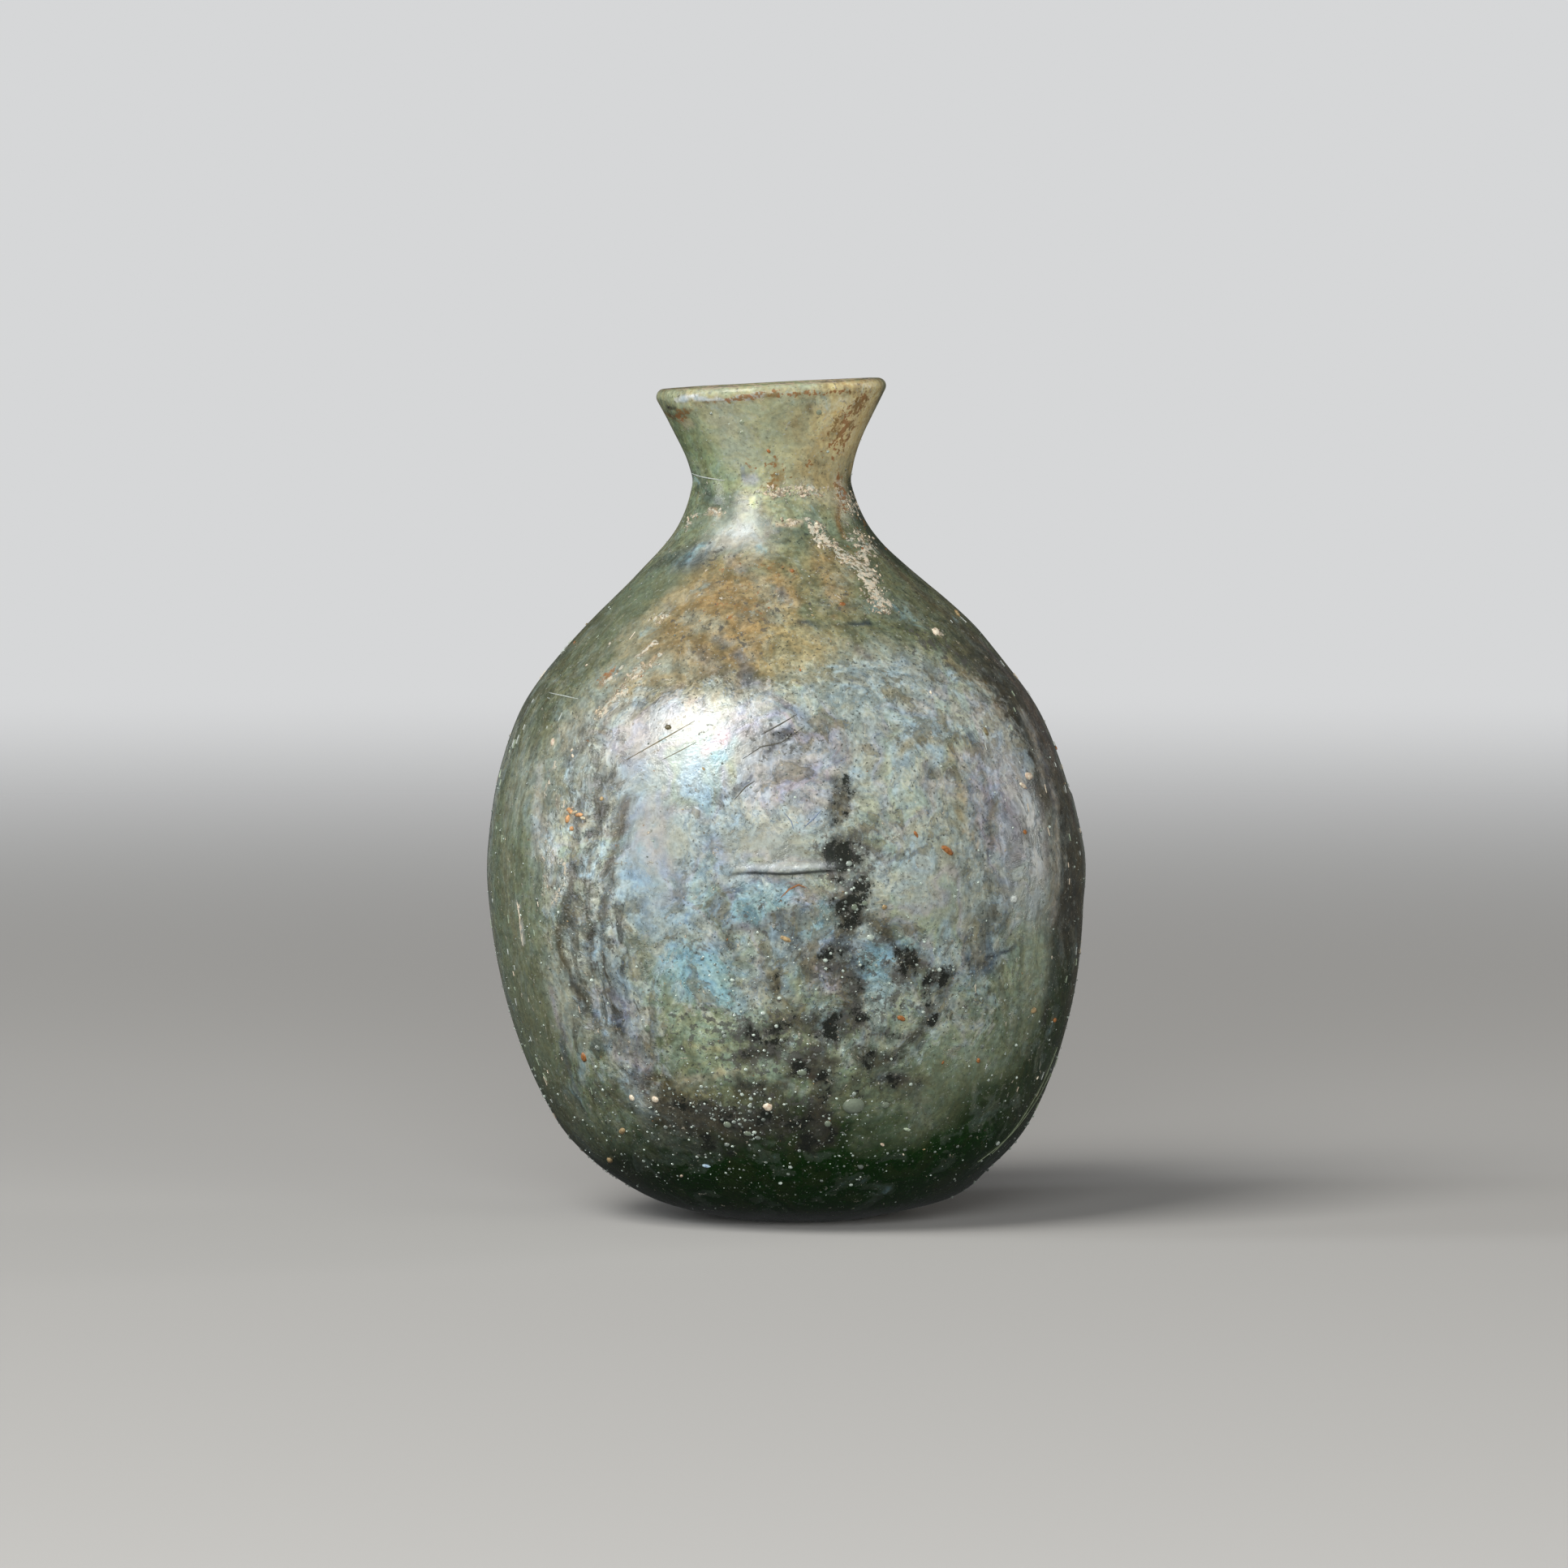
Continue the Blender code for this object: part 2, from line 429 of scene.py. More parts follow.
# The ground's colours, blended: colour, then column, row, half width, half height, turn in degrees.
GROUND_PATCHES = [
    (MILK_GREEN, [(930, 530, 70, 50, 0), (940, 610, 50, 22, 0)]),
    (FLANK_GREEN, [(850, 560, 22, 45, 0), (875, 585, 22, 25, 0)]),
    (NECK_TAN, [(1045, 520, 28, 45, -20)]),
    (PALE_OCHRE, [(1010, 590, 45, 30, 0), (985, 790, 45, 35, 0)]),
    (GREY_GREEN, [
        (860, 640, 25, 25, 0), (1000, 665, 35, 25, 0), (800, 720, 40, 30, 30), (630, 1000, 26, 70, 0),
        (625, 1120, 26, 80, 0), (700, 1080, 22, 60, 0), (985, 1200, 14, 24, 0), (610, 1100, 8, 120, 0),
        (1240, 1270, 30, 50, 0), (1150, 1330, 60, 30, 0), (720, 1320, 30, 40, 10),
        (830, 1300, 50, 25, 0), (740, 1395, 40, 20, 25), (900, 1345, 60, 12, 0),
        (1060, 1365, 40, 24, 0), (1130, 1375, 50, 25, 0),
    ]),
    (WARM_GREY, [
        (915, 655, 45, 25, 0), (800, 840, 60, 30, 20), (720, 900, 35, 50, 0), (1060, 830, 60, 30, 0),
        (645, 960, 20, 50, 0), (690, 1000, 26, 60, 0), (745, 1010, 22, 60, 0), (950, 1035, 55, 30, 0),
        (1085, 1115, 18, 14, 0), (1008, 1095, 18, 12, 0), (960, 1170, 40, 20, 0),
        (1150, 1010, 45, 60, 0), (1160, 1110, 60, 50, 0), (930, 1210, 40, 22, 0),
        (720, 1180, 24, 60, 5), (700, 1240, 22, 50, 5),
    ]),
    (OLIVE, [
        (1070, 670, 20, 30, 0), (1090, 730, 40, 40, -30), (730, 790, 45, 40, 35), (660, 880, 30, 60, 0),
        (1160, 775, 35, 20, -40), (1115, 1140, 14, 20, 0), (650, 1220, 22, 60, 5),
        (690, 1370, 30, 25, 30),
    ]),
    (SLATE, [
        (850, 690, 25, 16, 20), (905, 1110, 35, 25, 20), (960, 1125, 50, 24, 0),
        (1215, 1185, 30, 16, 10), (1090, 1190, 30, 30, 0), (1130, 1170, 25, 20, 0),
        (760, 1230, 14, 60, 8),
    ]),
    (OCHRE, [(890, 730, 70, 40, 0), (1000, 720, 40, 35, 0), (880, 790, 70, 40, 10)]),
    (UMBER, [
        (870, 845, 50, 14, 10), (970, 1126, 16, 15, 0), (940, 1145, 12, 14, 0), (1026, 1182, 14, 14, 0),
        (955, 1215, 14, 18, 0), (815, 1340, 22, 18, 0),
    ]),
    (LILAC, [
        (790, 900, 55, 35, 10), (940, 900, 50, 30, 10), (950, 960, 55, 45, 0), (1024, 1202, 20, 12, 0),
        (1020, 1170, 40, 25, 0), (1240, 1000, 30, 60, -5), (780, 1290, 14, 50, 10),
    ]),
    (SILVER, [
        (860, 905, 70, 40, 10), (1110, 850, 60, 30, -10), (1180, 880, 40, 35, -30),
        (830, 1020, 36, 50, 0), (1110, 960, 40, 60, 0), (1265, 1080, 20, 60, 0),
    ]),
    # The first four dusk patches, down the right edge, are painted shade.
    (DUSK, [
        (1200, 800, 30, 22, -45), (1255, 880, 22, 45, -20), (1300, 1000, 14, 70, -5),
        (1318, 1120, 14, 80, 0), (1092, 1150, 12, 13, 0), (1056, 1222, 14, 22, 0),
        (880, 1380, 70, 18, 0),
    ]),
    (DARK_GREEN, [
        (1312, 1220, 14, 60, 5), (1085, 660, 10, 50, 0), (1078, 600, 8, 24, 0),
        (1300, 1290, 16, 50, 15), (790, 1430, 50, 22, 20), (880, 1415, 90, 18, 0),
        (1010, 1395, 60, 26, 0), (1220, 1360, 40, 30, 0), (1262, 1340, 26, 50, -30),
    ]),
    # A painted sheen down the right edge.
    (PINK_GREY, [(1290, 880, 12, 60, -20)]),
    (PALE_BLUE, [
        (790, 1040, 26, 60, 0), (830, 1100, 45, 35, 0), (880, 1000, 30, 60, 0), (1062, 1160, 18, 16, 0),
        (1086, 1196, 20, 20, 0), (1090, 1050, 22, 22, 0),
    ]),
    (CREAM_GREEN, [
        (1150, 1140, 24, 20, 0), (1090, 1020, 22, 50, 0), (1260, 1180, 24, 50, 0),
        (830, 1240, 35, 30, 0), (900, 1265, 60, 30, 0), (1080, 1270, 50, 30, 0),
        (1180, 1260, 60, 40, 0), (920, 1310, 50, 16, 0),
    ]),
    (OLIVE_BROWN, [(1331, 1160, 8, 100, 0), (1323, 1020, 7, 70, -4)]),
    (TEAL, [(1000, 1140, 30, 30, 0), (855, 1195, 32, 24, 20), (880, 1225, 35, 16, -20)]),
    (DEEP_GREEN, [
        (900, 1450, 130, 28, 0), (1080, 1440, 140, 35, 0), (1210, 1400, 40, 30, -30),
        (980, 1490, 120, 14, 0),
    ]),
]

# Strokes of colour over the ground, in the order in which they are laid: colour, half width, strength
# and the places along the stroke. A few are painted highlights, sheen and shade, marked where they lie.
STROKES = [
    (GRAPHITE, 26, 0.55, [(737, 970), (715, 1100), (722, 1230)]),
    (DUSK, 7, 0.85, [
        (713, 1013), (707, 1047), (703, 1093), (690, 1140), (690, 1173), (697, 1193), (730, 1257),
    ]),
    (DUSK, 10, 1.0, [(757, 960), (740, 1000), (727, 1042), (722, 1082), (711, 1118)]),
    (DUSK, 9, 1.0, [(771, 990), (760, 1040), (752, 1088), (742, 1125), (732, 1150), (729, 1200)]),
    (LIME_WHITE_AND_HIGHLIGHT, 9, 0.50, [(660, 990), (676, 1040), (680, 1085)]),
    (GRAPHITE, 6, 0.90, [(745, 1090), (748, 1130), (741, 1165), (745, 1200)]),
    (GRAPHITE, 5, 0.90, [(703, 1207), (710, 1233), (717, 1250)]),
    (GRAPHITE, 4, 0.55, [(733, 1287), (733, 1313), (740, 1340)]),
    (STEEL, 7, 0.60, [(717, 918), (703, 940)]),
    (NAVY, 4, 0.85, [(750, 1217), (757, 1240), (763, 1263)]),
    (NAVY, 7, 0.95, [(762, 1262), (773, 1287)]),
    (STEEL, 6, 0.65, [(690, 1287), (703, 1320), (712, 1345)]),
    (SMOKE, 8, 0.70, [(758, 1350), (778, 1368)]),
    (PALE_BLUE, 5, 0.95, [(743, 1040), (737, 1067), (733, 1083)]),
    (PALE_BLUE, 5, 0.95, [(723, 1057), (720, 1080)]),
    (WARM_GREY, 6, 0.90, [(713, 1120), (710, 1167)]),
    (PALE_BLUE, 4, 0.85, [(737, 1157), (732, 1183)]),
    (SILVER, 5, 0.85, [(753, 997), (757, 1017)]),
    (SILVER, 6, 0.90, [(767, 973), (787, 953)]),
    (LIME_WHITE_AND_HIGHLIGHT, 4, 1.0, [(667, 1040), (680, 1053), (697, 1067), (693, 1090), (680, 1117)]),
    (LIME_WHITE_AND_HIGHLIGHT, 4, 0.9, [(673, 1027), (683, 1053), (673, 1087)]),
    (PINK_TAN, 8, 0.6, [(697, 1007), (703, 998), (710, 1003), (719, 1007)]),
    (ORANGE, 4, 0.8, [(741, 842), (748, 830)]),
    (STEEL, 3, 0.9, [(1193, 970), (1196, 974)]),
    (LIME_WHITE_AND_HIGHLIGHT, 3, 0.9, [(637, 1112), (641, 1135), (645, 1160)]),
    (SILVER, 3, 0.75, [(683, 933), (677, 953), (672, 980)]),
    (SILVER, 3, 0.70, [(777, 1273), (780, 1307)]),
    (LILAC, 8, 0.70, [(743, 1270), (757, 1297)]),
    (LILAC, 5, 0.60, [(680, 1217), (687, 1263), (700, 1290)]),
    (LILAC, 5, 0.70, [(730, 1217), (733, 1250)]),
    (SILVER, 3, 0.80, [(650, 870), (633, 907), (627, 940), (620, 960)]),
    (BEIGE, 24, 0.80, [(802, 1015), (800, 1045)]),
    (PALE_BLUE, 6, 0.60, [(790, 975), (778, 1010), (774, 1060), (764, 1100)]),
    (BEIGE, 34, 0.50, [(780, 905), (865, 885)]),
    (BEIGE, 22, 0.35, [(700, 905), (760, 870)]),
    (PINK_TAN, 12, 0.25, [(860, 860), (900, 850)]),
    (PINK_GREY, 30, 0.25, [(890, 1045), (970, 1040)]),
    (GRAPHITE, 12, 0.45, [(700, 930), (735, 900)]),
    (SLATE, 16, 0.35, [(880, 1010), (868, 1050), (875, 1090)]),
    (PALE_BLUE, 10, 0.60, [(838, 1172), (850, 1195), (872, 1215)]),
    (PALE_BLUE, 7, 0.70, [(1068, 1150), (1088, 1160), (1100, 1180), (1096, 1205), (1078, 1208)]),
    (PALE_BLUE, 6, 0.60, [(1040, 1165), (1060, 1140), (1085, 1145)]),
    (CREAM_GREEN, 10, 0.50, [(885, 1225), (905, 1250), (940, 1262)]),
    (CREAM_GREEN, 6, 0.60, [(880, 1090), (870, 1120), (890, 1150)]),
    (CREAM_GREEN, 6, 0.60, [(970, 1200), (990, 1225), (975, 1245)]),
    (CREAM_GREEN, 5, 0.60, [(1080, 1230), (1100, 1225), (1125, 1245)]),
    (PALE_OCHRE, 6, 0.50, [(850, 1290), (900, 1296)]),
    (SLATE, 12, 0.60, [(880, 1122), (930, 1136), (990, 1128)]),
    (LILAC, 10, 0.60, [(930, 1100), (1000, 1108)]),
    (PALE_BLUE, 14, 0.50, [(1000, 850), (1090, 870), (1160, 900)]),
    (LILAC, 12, 0.50, [(1020, 900), (1035, 940)]),
    (PALE_BLUE, 14, 0.45, [(850, 960), (870, 985)]),
    (LILAC, 14, 0.45, [(985, 975), (1000, 1010)]),
    (PALE_BLUE, 10, 0.55, [(1215, 930), (1235, 1000), (1240, 1080)]),
    (STEEL, 8, 0.55, [(790, 1110), (800, 1150)]),
    (OLIVE, 16, 0.60, [(785, 1160), (800, 1190)]),
    (PINK_TAN, 6, 0.50, [(793, 1245), (795, 1260)]),
    (STAIN_BROWN, 9, 0.45, [(803, 1330), (810, 1350)]),
    # Painted shade down the right edge, from the shoulder.
    (DUSK, 13, 0.70, [
        (1133, 780), (1173, 800), (1200, 820), (1240, 853), (1262, 890), (1280, 940), (1292, 980),
        (1305, 1020), (1312, 1080), (1319, 1120),
    ]),
    # A painted sheen down the right edge.
    (PINK_GREY, 7, 0.85, [(1207, 790), (1240, 830), (1270, 867), (1297, 920), (1313, 967), (1320, 1007)]),
    (OCHRE, 8, 0.55, [(1170, 812), (1197, 837), (1223, 857), (1233, 880)]),
    (STEEL, 16, 0.40, [(1115, 815), (1150, 840)]),
    (NAVY, 3, 0.75, [(1163, 895), (1170, 907), (1187, 912), (1200, 903)]),
    (STEEL, 8, 0.70, [(1200, 913), (1210, 933)]),
    (PALE_OCHRE, 7, 0.65, [(1112, 928), (1120, 918), (1140, 910), (1167, 920), (1182, 960), (1184, 1007)]),
    (PURPLE_GREY, 12, 0.85, [(1146, 944), (1153, 950)]),
    (PINK_TAN, 3, 0.70, [(1190, 1020), (1203, 1033), (1207, 1050)]),
    (STEEL, 4, 0.60, [(1203, 1013), (1215, 1043), (1215, 1070), (1218, 1087)]),
    (UMBER, 3, 0.75, [(1233, 983), (1226, 997), (1222, 1012)]),
    (PINK_GREY, 3, 0.70, [(1233, 940), (1235, 960)]),
    (SILVER, 4, 0.55, [(1290, 1013), (1303, 1063), (1303, 1113)]),
    (STEEL, 9, 0.30, [(1240, 1115), (1243, 1165)]),
    (SILVER, 24, 0.60, [(1262, 985), (1280, 1040), (1278, 1120)]),
    (WARM_GREY, 16, 0.55, [(1300, 1010), (1300, 1100)]),
    (PURPLE_GREY, 9, 0.60, [(1266, 880), (1288, 940), (1298, 985)]),
    (LIME_WHITE_AND_HIGHLIGHT, 16, 0.40, [(1266, 990), (1276, 1050), (1274, 1110)]),
    (LIME_WHITE_AND_HIGHLIGHT, 14, 0.55, [(1240, 1020), (1243, 1105)]),
    (BEIGE, 10, 0.60, [(1262, 880), (1278, 920), (1286, 965)]),
    (BEIGE, 9, 0.55, [(1297, 965), (1303, 1040), (1298, 1130)]),
    (NAVY, 4, 0.95, [(1207, 1193), (1220, 1180), (1233, 1177), (1250, 1170)]),
    (STEEL, 7, 0.60, [(1215, 1165), (1205, 1185)]),
    (GRAPHITE, 5, 0.75, [(1217, 1247), (1220, 1223)]),
    (UMBER, 8, 0.50, [(1233, 1190), (1240, 1240)]),
    (SLATE_GREEN, 12, 0.60, [(1302, 1150), (1292, 1230)]),
    (SMOKE, 8, 0.75, [(1291, 1243), (1286, 1262)]),
    (UMBER, 2, 0.60, [(1243, 1040), (1247, 1065)]),
    (MAROON, 3, 0.80, [(962, 1106), (972, 1096), (984, 1090), (994, 1094)]),
    (MAROON, 3, 0.65, [(1024, 1078), (1027, 1092)]),
    (SLATE_GREEN, 2, 0.70, [(980, 1098), (992, 1110), (1003, 1120)]),
    (PALE_BLUE, 4, 0.75, [(893, 1142), (900, 1115), (915, 1100), (932, 1106)]),
    (PALE_BLUE, 4, 0.65, [(922, 1150), (915, 1170), (900, 1182)]),
    (PALE_BLUE, 5, 0.80, [
        (1070, 1185), (1072, 1200), (1085, 1208), (1100, 1198), (1100, 1180), (1085, 1172),
    ]),
    (STEEL, 4, 0.60, [(1084, 1186), (1088, 1194)]),
    (CREAM_GREEN, 3, 0.85, [(1102, 1098), (1105, 1115), (1100, 1128)]),
    (CREAM_GREEN, 3, 0.85, [(1103, 1137), (1105, 1150), (1118, 1160)]),
    (SILVER, 4, 0.70, [(1105, 1206), (1120, 1211), (1135, 1205)]),
    (NAVY, 4, 0.85, [(948, 900), (965, 905), (975, 893)]),
    (NAVY, 3, 0.75, [(940, 926), (956, 918)]),
    (NAVY, 3, 0.75, [(905, 978), (915, 968), (925, 955)]),
    (STEEL, 4, 0.60, [(955, 880), (975, 875), (990, 880)]),
    (OCHRE, 26, 0.50, [(880, 722), (925, 752), (905, 805)]),
    (OCHRE, 20, 0.55, [(1010, 680), (1035, 690)]),
    (OLIVE, 16, 0.60, [(1040, 760), (1110, 772), (1160, 785)]),
    (STEEL, 8, 0.50, [(959, 727), (971, 740)]),
    (GREY_GREEN, 20, 0.60, [(985, 690), (1000, 730), (1010, 760)]),
    (WARM_GREY, 12, 0.50, [(930, 700), (960, 760)]),
    (WARM_GREY, 14, 0.50, [(850, 760), (880, 770)]),
    (STEEL, 11, 0.60, [(909, 808), (920, 822), (917, 846)]),
    (PURPLE_GREY, 10, 0.40, [(860, 800), (880, 826)]),
    (STEEL, 6, 0.55, [(819, 746), (825, 752)]),
    (STEEL, 8, 0.45, [(880, 785), (895, 792)]),
    (NAVY, 6, 0.80, [(988, 765), (1030, 770), (1067, 768)]),
    (OLIVE, 16, 0.75, [(995, 752), (1060, 784)]),
    (NAVY, 11, 0.55, [(838, 688), (850, 676)]),
    (PURPLE_GREY, 8, 0.60, [(1058, 806), (1070, 812)]),
    (OLIVE_BROWN, 13, 0.80, [(1078, 672), (1121, 718), (1198, 785)]),
    (PINK_TAN, 3, 0.75, [(821, 758), (809, 769)]),
    (PINK_TAN, 3, 0.70, [(805, 792), (786, 808)]),
    (PINK_TAN, 5, 0.70, [(809, 808), (796, 822), (782, 832)]),
    (PINK_TAN, 5, 0.75, [(771, 850), (756, 862), (740, 881)]),
    (GREY_GREEN, 24, 0.30, [(760, 770), (800, 735)]),
    (SAND, 24, 0.55, [(772, 795), (822, 742)]),
    (SAND, 18, 0.45, [(765, 848), (830, 838)]),
    (UMBER, 14, 0.40, [(850, 780), (890, 800)]),
    (SLATE_GREEN, 15, 0.75, [(812, 693), (840, 684)]),
    (PURPLE_GREY, 14, 0.45, [(900, 838), (940, 846)]),
    (UMBER, 16, 0.22, [(905, 842), (980, 838), (1090, 840)]),
    (OCHRE, 18, 0.35, [(765, 842), (808, 842), (850, 836)]),
    (PALE_OCHRE, 7, 0.60, [(840, 488), (900, 482), (1000, 477), (1085, 476)]),
    # A painted highlight along the front of the lip.
    (LIME_WHITE_AND_HIGHLIGHT, 2.5, 0.80, [(832, 488), (870, 487), (905, 483), (940, 478)]),
    (STAIN_BROWN, 2, 0.60, [(868, 493), (890, 490), (914, 488), (934, 484), (960, 483)]),
    # Painted shade in small voids at the lip's left end.
    (SMOKE, 3, 0.90, [(820, 494), (834, 497)]),
    (STAIN_BROWN, 3, 0.85, [(814, 500), (830, 505), (841, 504), (850, 500)]),
    (PINK_TAN, 8, 0.45, [(838, 512), (850, 520)]),
    (STAIN_BROWN, 5, 0.35, [(1021, 544), (1037, 522), (1052, 504), (1070, 495)]),
    (STAIN_BROWN, 4, 0.70, [(998, 503), (999, 508)]),
    (STAIN_BROWN, 6, 0.45, [(983, 517), (982, 524)]),
    (STAIN_BROWN, 3, 0.60, [(953, 563), (958, 572)]),
    (STAIN_BROWN, 4, 0.55, [(958, 584), (962, 590), (948, 597)]),
    (STAIN_BROWN, 3, 0.70, [(1003, 572), (1008, 575)]),
    (STAIN_BROWN, 4, 0.80, [(1034, 588), (1038, 608), (1033, 640), (1040, 660)]),
    (NECK_TAN, 18, 0.75, [(1074, 492), (1068, 530), (1054, 570)]),
    (PALE_OCHRE, 26, 0.50, [(990, 520), (1005, 560), (1010, 600)]),
    (SILVER, 24, 0.30, [(893, 505), (908, 560)]),
    (OLIVE, 9, 0.70, [(858, 548), (872, 590), (866, 620)]),
    (SLATE_GREEN, 14, 0.70, [(862, 600), (880, 622)]),
    (GREY_GREEN, 12, 0.60, [(900, 600), (905, 612)]),
    (GREY_GREEN, 16, 0.50, [(960, 625), (1010, 635)]),
    (SLATE_GREEN, 12, 0.50, [(960, 655), (990, 660)]),
    # The silver, white and beige strokes here are a painted highlight under the neck.
    (SILVER, 18, 0.50, [(885, 668), (925, 660)]),
    (LIME_WHITE_AND_HIGHLIGHT, 10, 0.35, [(888, 664), (922, 656)]),
    (PURPLE_GREY, 10, 0.45, [(908, 610), (934, 624), (944, 642)]),
    (BEIGE, 13, 0.60, [(884, 674), (906, 668), (932, 665)]),
    (OLIVE, 12, 0.55, [(868, 640), (850, 664)]),
    (SLATE_GREEN, 14, 0.60, [(880, 606), (905, 628)]),
    (FLANK_GREEN, 14, 0.50, [(870, 560), (885, 600)]),
    (LILAC, 7, 0.50, [(900, 690), (915, 700)]),
    (GREY_GREEN, 20, 0.50, [(905, 690), (960, 694)]),
    (SLATE_GREEN, 7, 0.90, [(1048, 605), (1062, 640), (1086, 676)]),
    (LILAC, 5, 0.60, [(917, 587), (926, 588)]),
    (STEEL, 3, 0.70, [(913, 576), (913, 584)]),
    (PEARL_YELLOW, 4, 0.80, [(925, 616), (927, 621)]),
    (PINK_TAN, 3, 0.90, [(873, 633), (889, 634)]),
    (PINK_TAN, 3, 0.80, [(958, 643), (986, 643)]),
    (PEARL_PINK, 8, 0.60, [(872, 925), (892, 905)]),
    (PEARL_CYAN, 7, 0.60, [(884, 932), (904, 912)]),
    (PEARL_YELLOW, 5, 0.55, [(896, 938), (900, 965)]),
    (LILAC, 8, 0.60, [(915, 905), (930, 895)]),
    (GRAPHITE, 10, 0.50, [(1034, 960), (1030, 1000), (1038, 1045)]),
    (GRAPHITE, 22, 0.60, [(1036, 1052), (1050, 1085), (1045, 1130)]),
    (DUSK, 12, 0.60, [(1045, 1140), (1052, 1190), (1056, 1240), (1040, 1290)]),
    (DUSK, 9, 0.60, [(1030, 1170), (1020, 1185)]),
    (DUSK, 12, 0.60, [(1112, 1172), (1116, 1192), (1150, 1200), (1170, 1212), (1150, 1250)]),
    (DUSK, 9, 0.60, [(1000, 1252), (1030, 1268), (1062, 1256)]),
    (DUSK, 10, 0.60, [(922, 1298), (960, 1292), (1000, 1312)]),
    (DUSK, 20, 0.50, [(820, 1368), (900, 1385), (960, 1380)]),
    (UMBER, 16, 0.45, [(810, 1340), (880, 1345), (940, 1350)]),
    (GREY_GREEN, 8, 0.50, [(1030, 1345), (1080, 1352)]),
    (CREAM_GREEN, 14, 0.50, [(828, 1300), (868, 1298)]),
    (WARM_GREY, 12, 0.40, [(835, 1332), (865, 1338)]),
    (PALE_BLUE, 13, 0.45, [(773, 1322), (784, 1358)]),
    (GREY_GREEN, 20, 0.45, [(1060, 1410), (1120, 1403)]),
    (GREY_GREEN, 20, 0.45, [(758, 1402), (802, 1420)]),
    (WARM_GREY, 13, 0.60, [(660, 990), (662, 1055)]),
    (PINK_TAN, 16, 0.12, [(628, 980), (622, 1080), (636, 1160)]),
    (SILVER, 14, 0.25, [(778, 1345), (800, 1400), (852, 1412)]),
    (UMBER, 16, 0.25, [(1272, 1180), (1270, 1220)]),
    (SMOKE, 16, 0.50, [(985, 1384), (1030, 1384)]),
    (DEEP_GREEN, 16, 0.80, [(985, 1388), (1032, 1388)]),
    (DEEP_GREEN, 14, 0.35, [(1070, 1386), (1112, 1382)]),
    (DEEP_GREEN, 12, 0.30, [(915, 1410), (945, 1408)]),
    (SILVER, 12, 0.40, [(772, 1330), (786, 1352)]),
    (GRAPHITE, 7, 0.75, [(752, 950), (757, 1000), (756, 1080)]),
    (GRAPHITE, 8, 0.75, [(729, 990), (729, 1045)]),
    (GRAPHITE, 6, 0.45, [(714, 990), (716, 1060)]),
    (PURPLE_GREY, 15, 0.30, [(774, 945), (776, 1030)]),
    (BEIGE, 9, 0.65, [(664, 945), (668, 1030)]),
    (SILVER, 6, 0.90, [(703, 1138), (705, 1190)]),
    (SILVER, 5, 0.50, [(716, 1098), (717, 1190)]),
    (UMBER, 5, 0.50, [(690, 1142), (692, 1188)]),
    (GRAPHITE, 5, 0.45, [(727, 1095), (729, 1185)]),
    (PALE_BLUE, 8, 0.90, [(741, 1242), (746, 1288)]),
    (PALE_BLUE, 6, 0.45, [(716, 1292), (719, 1335)]),
    (SILVER, 7, 0.45, [(751, 1294), (757, 1332)]),
    (BEIGE, 8, 0.55, [(800, 1245), (802, 1310)]),
    (PALE_BLUE, 8, 0.40, [(786, 1045), (788, 1085)]),
    (PALE_OCHRE, 8, 0.35, [(815, 1353), (870, 1351)]),
    (LIME_WHITE_AND_HIGHLIGHT, 10, 0.45, [(660, 1005), (662, 1040)]),
    # A painted warm highlight under the neck.
    (PINK_TAN, 12, 0.40, [(905, 692), (935, 688)]),
    (UMBER, 16, 0.22, [(800, 845), (842, 838)]),
    (SMOKE, 15, 0.85, [(1002, 1362), (1014, 1385), (1000, 1408)]),
    (SMOKE, 8, 0.35, [(835, 1362), (850, 1378)]),
    (NAVY, 6, 0.85, [(1084, 1330), (1118, 1328)]),
    (MAROON, 8, 0.80, [(990, 1322), (1000, 1328)]),
    (WARM_GREY, 3, 0.60, [(960, 1333), (982, 1349), (1008, 1340)]),
    (PINK_TAN, 5, 0.40, [(845, 1330), (910, 1318)]),
]

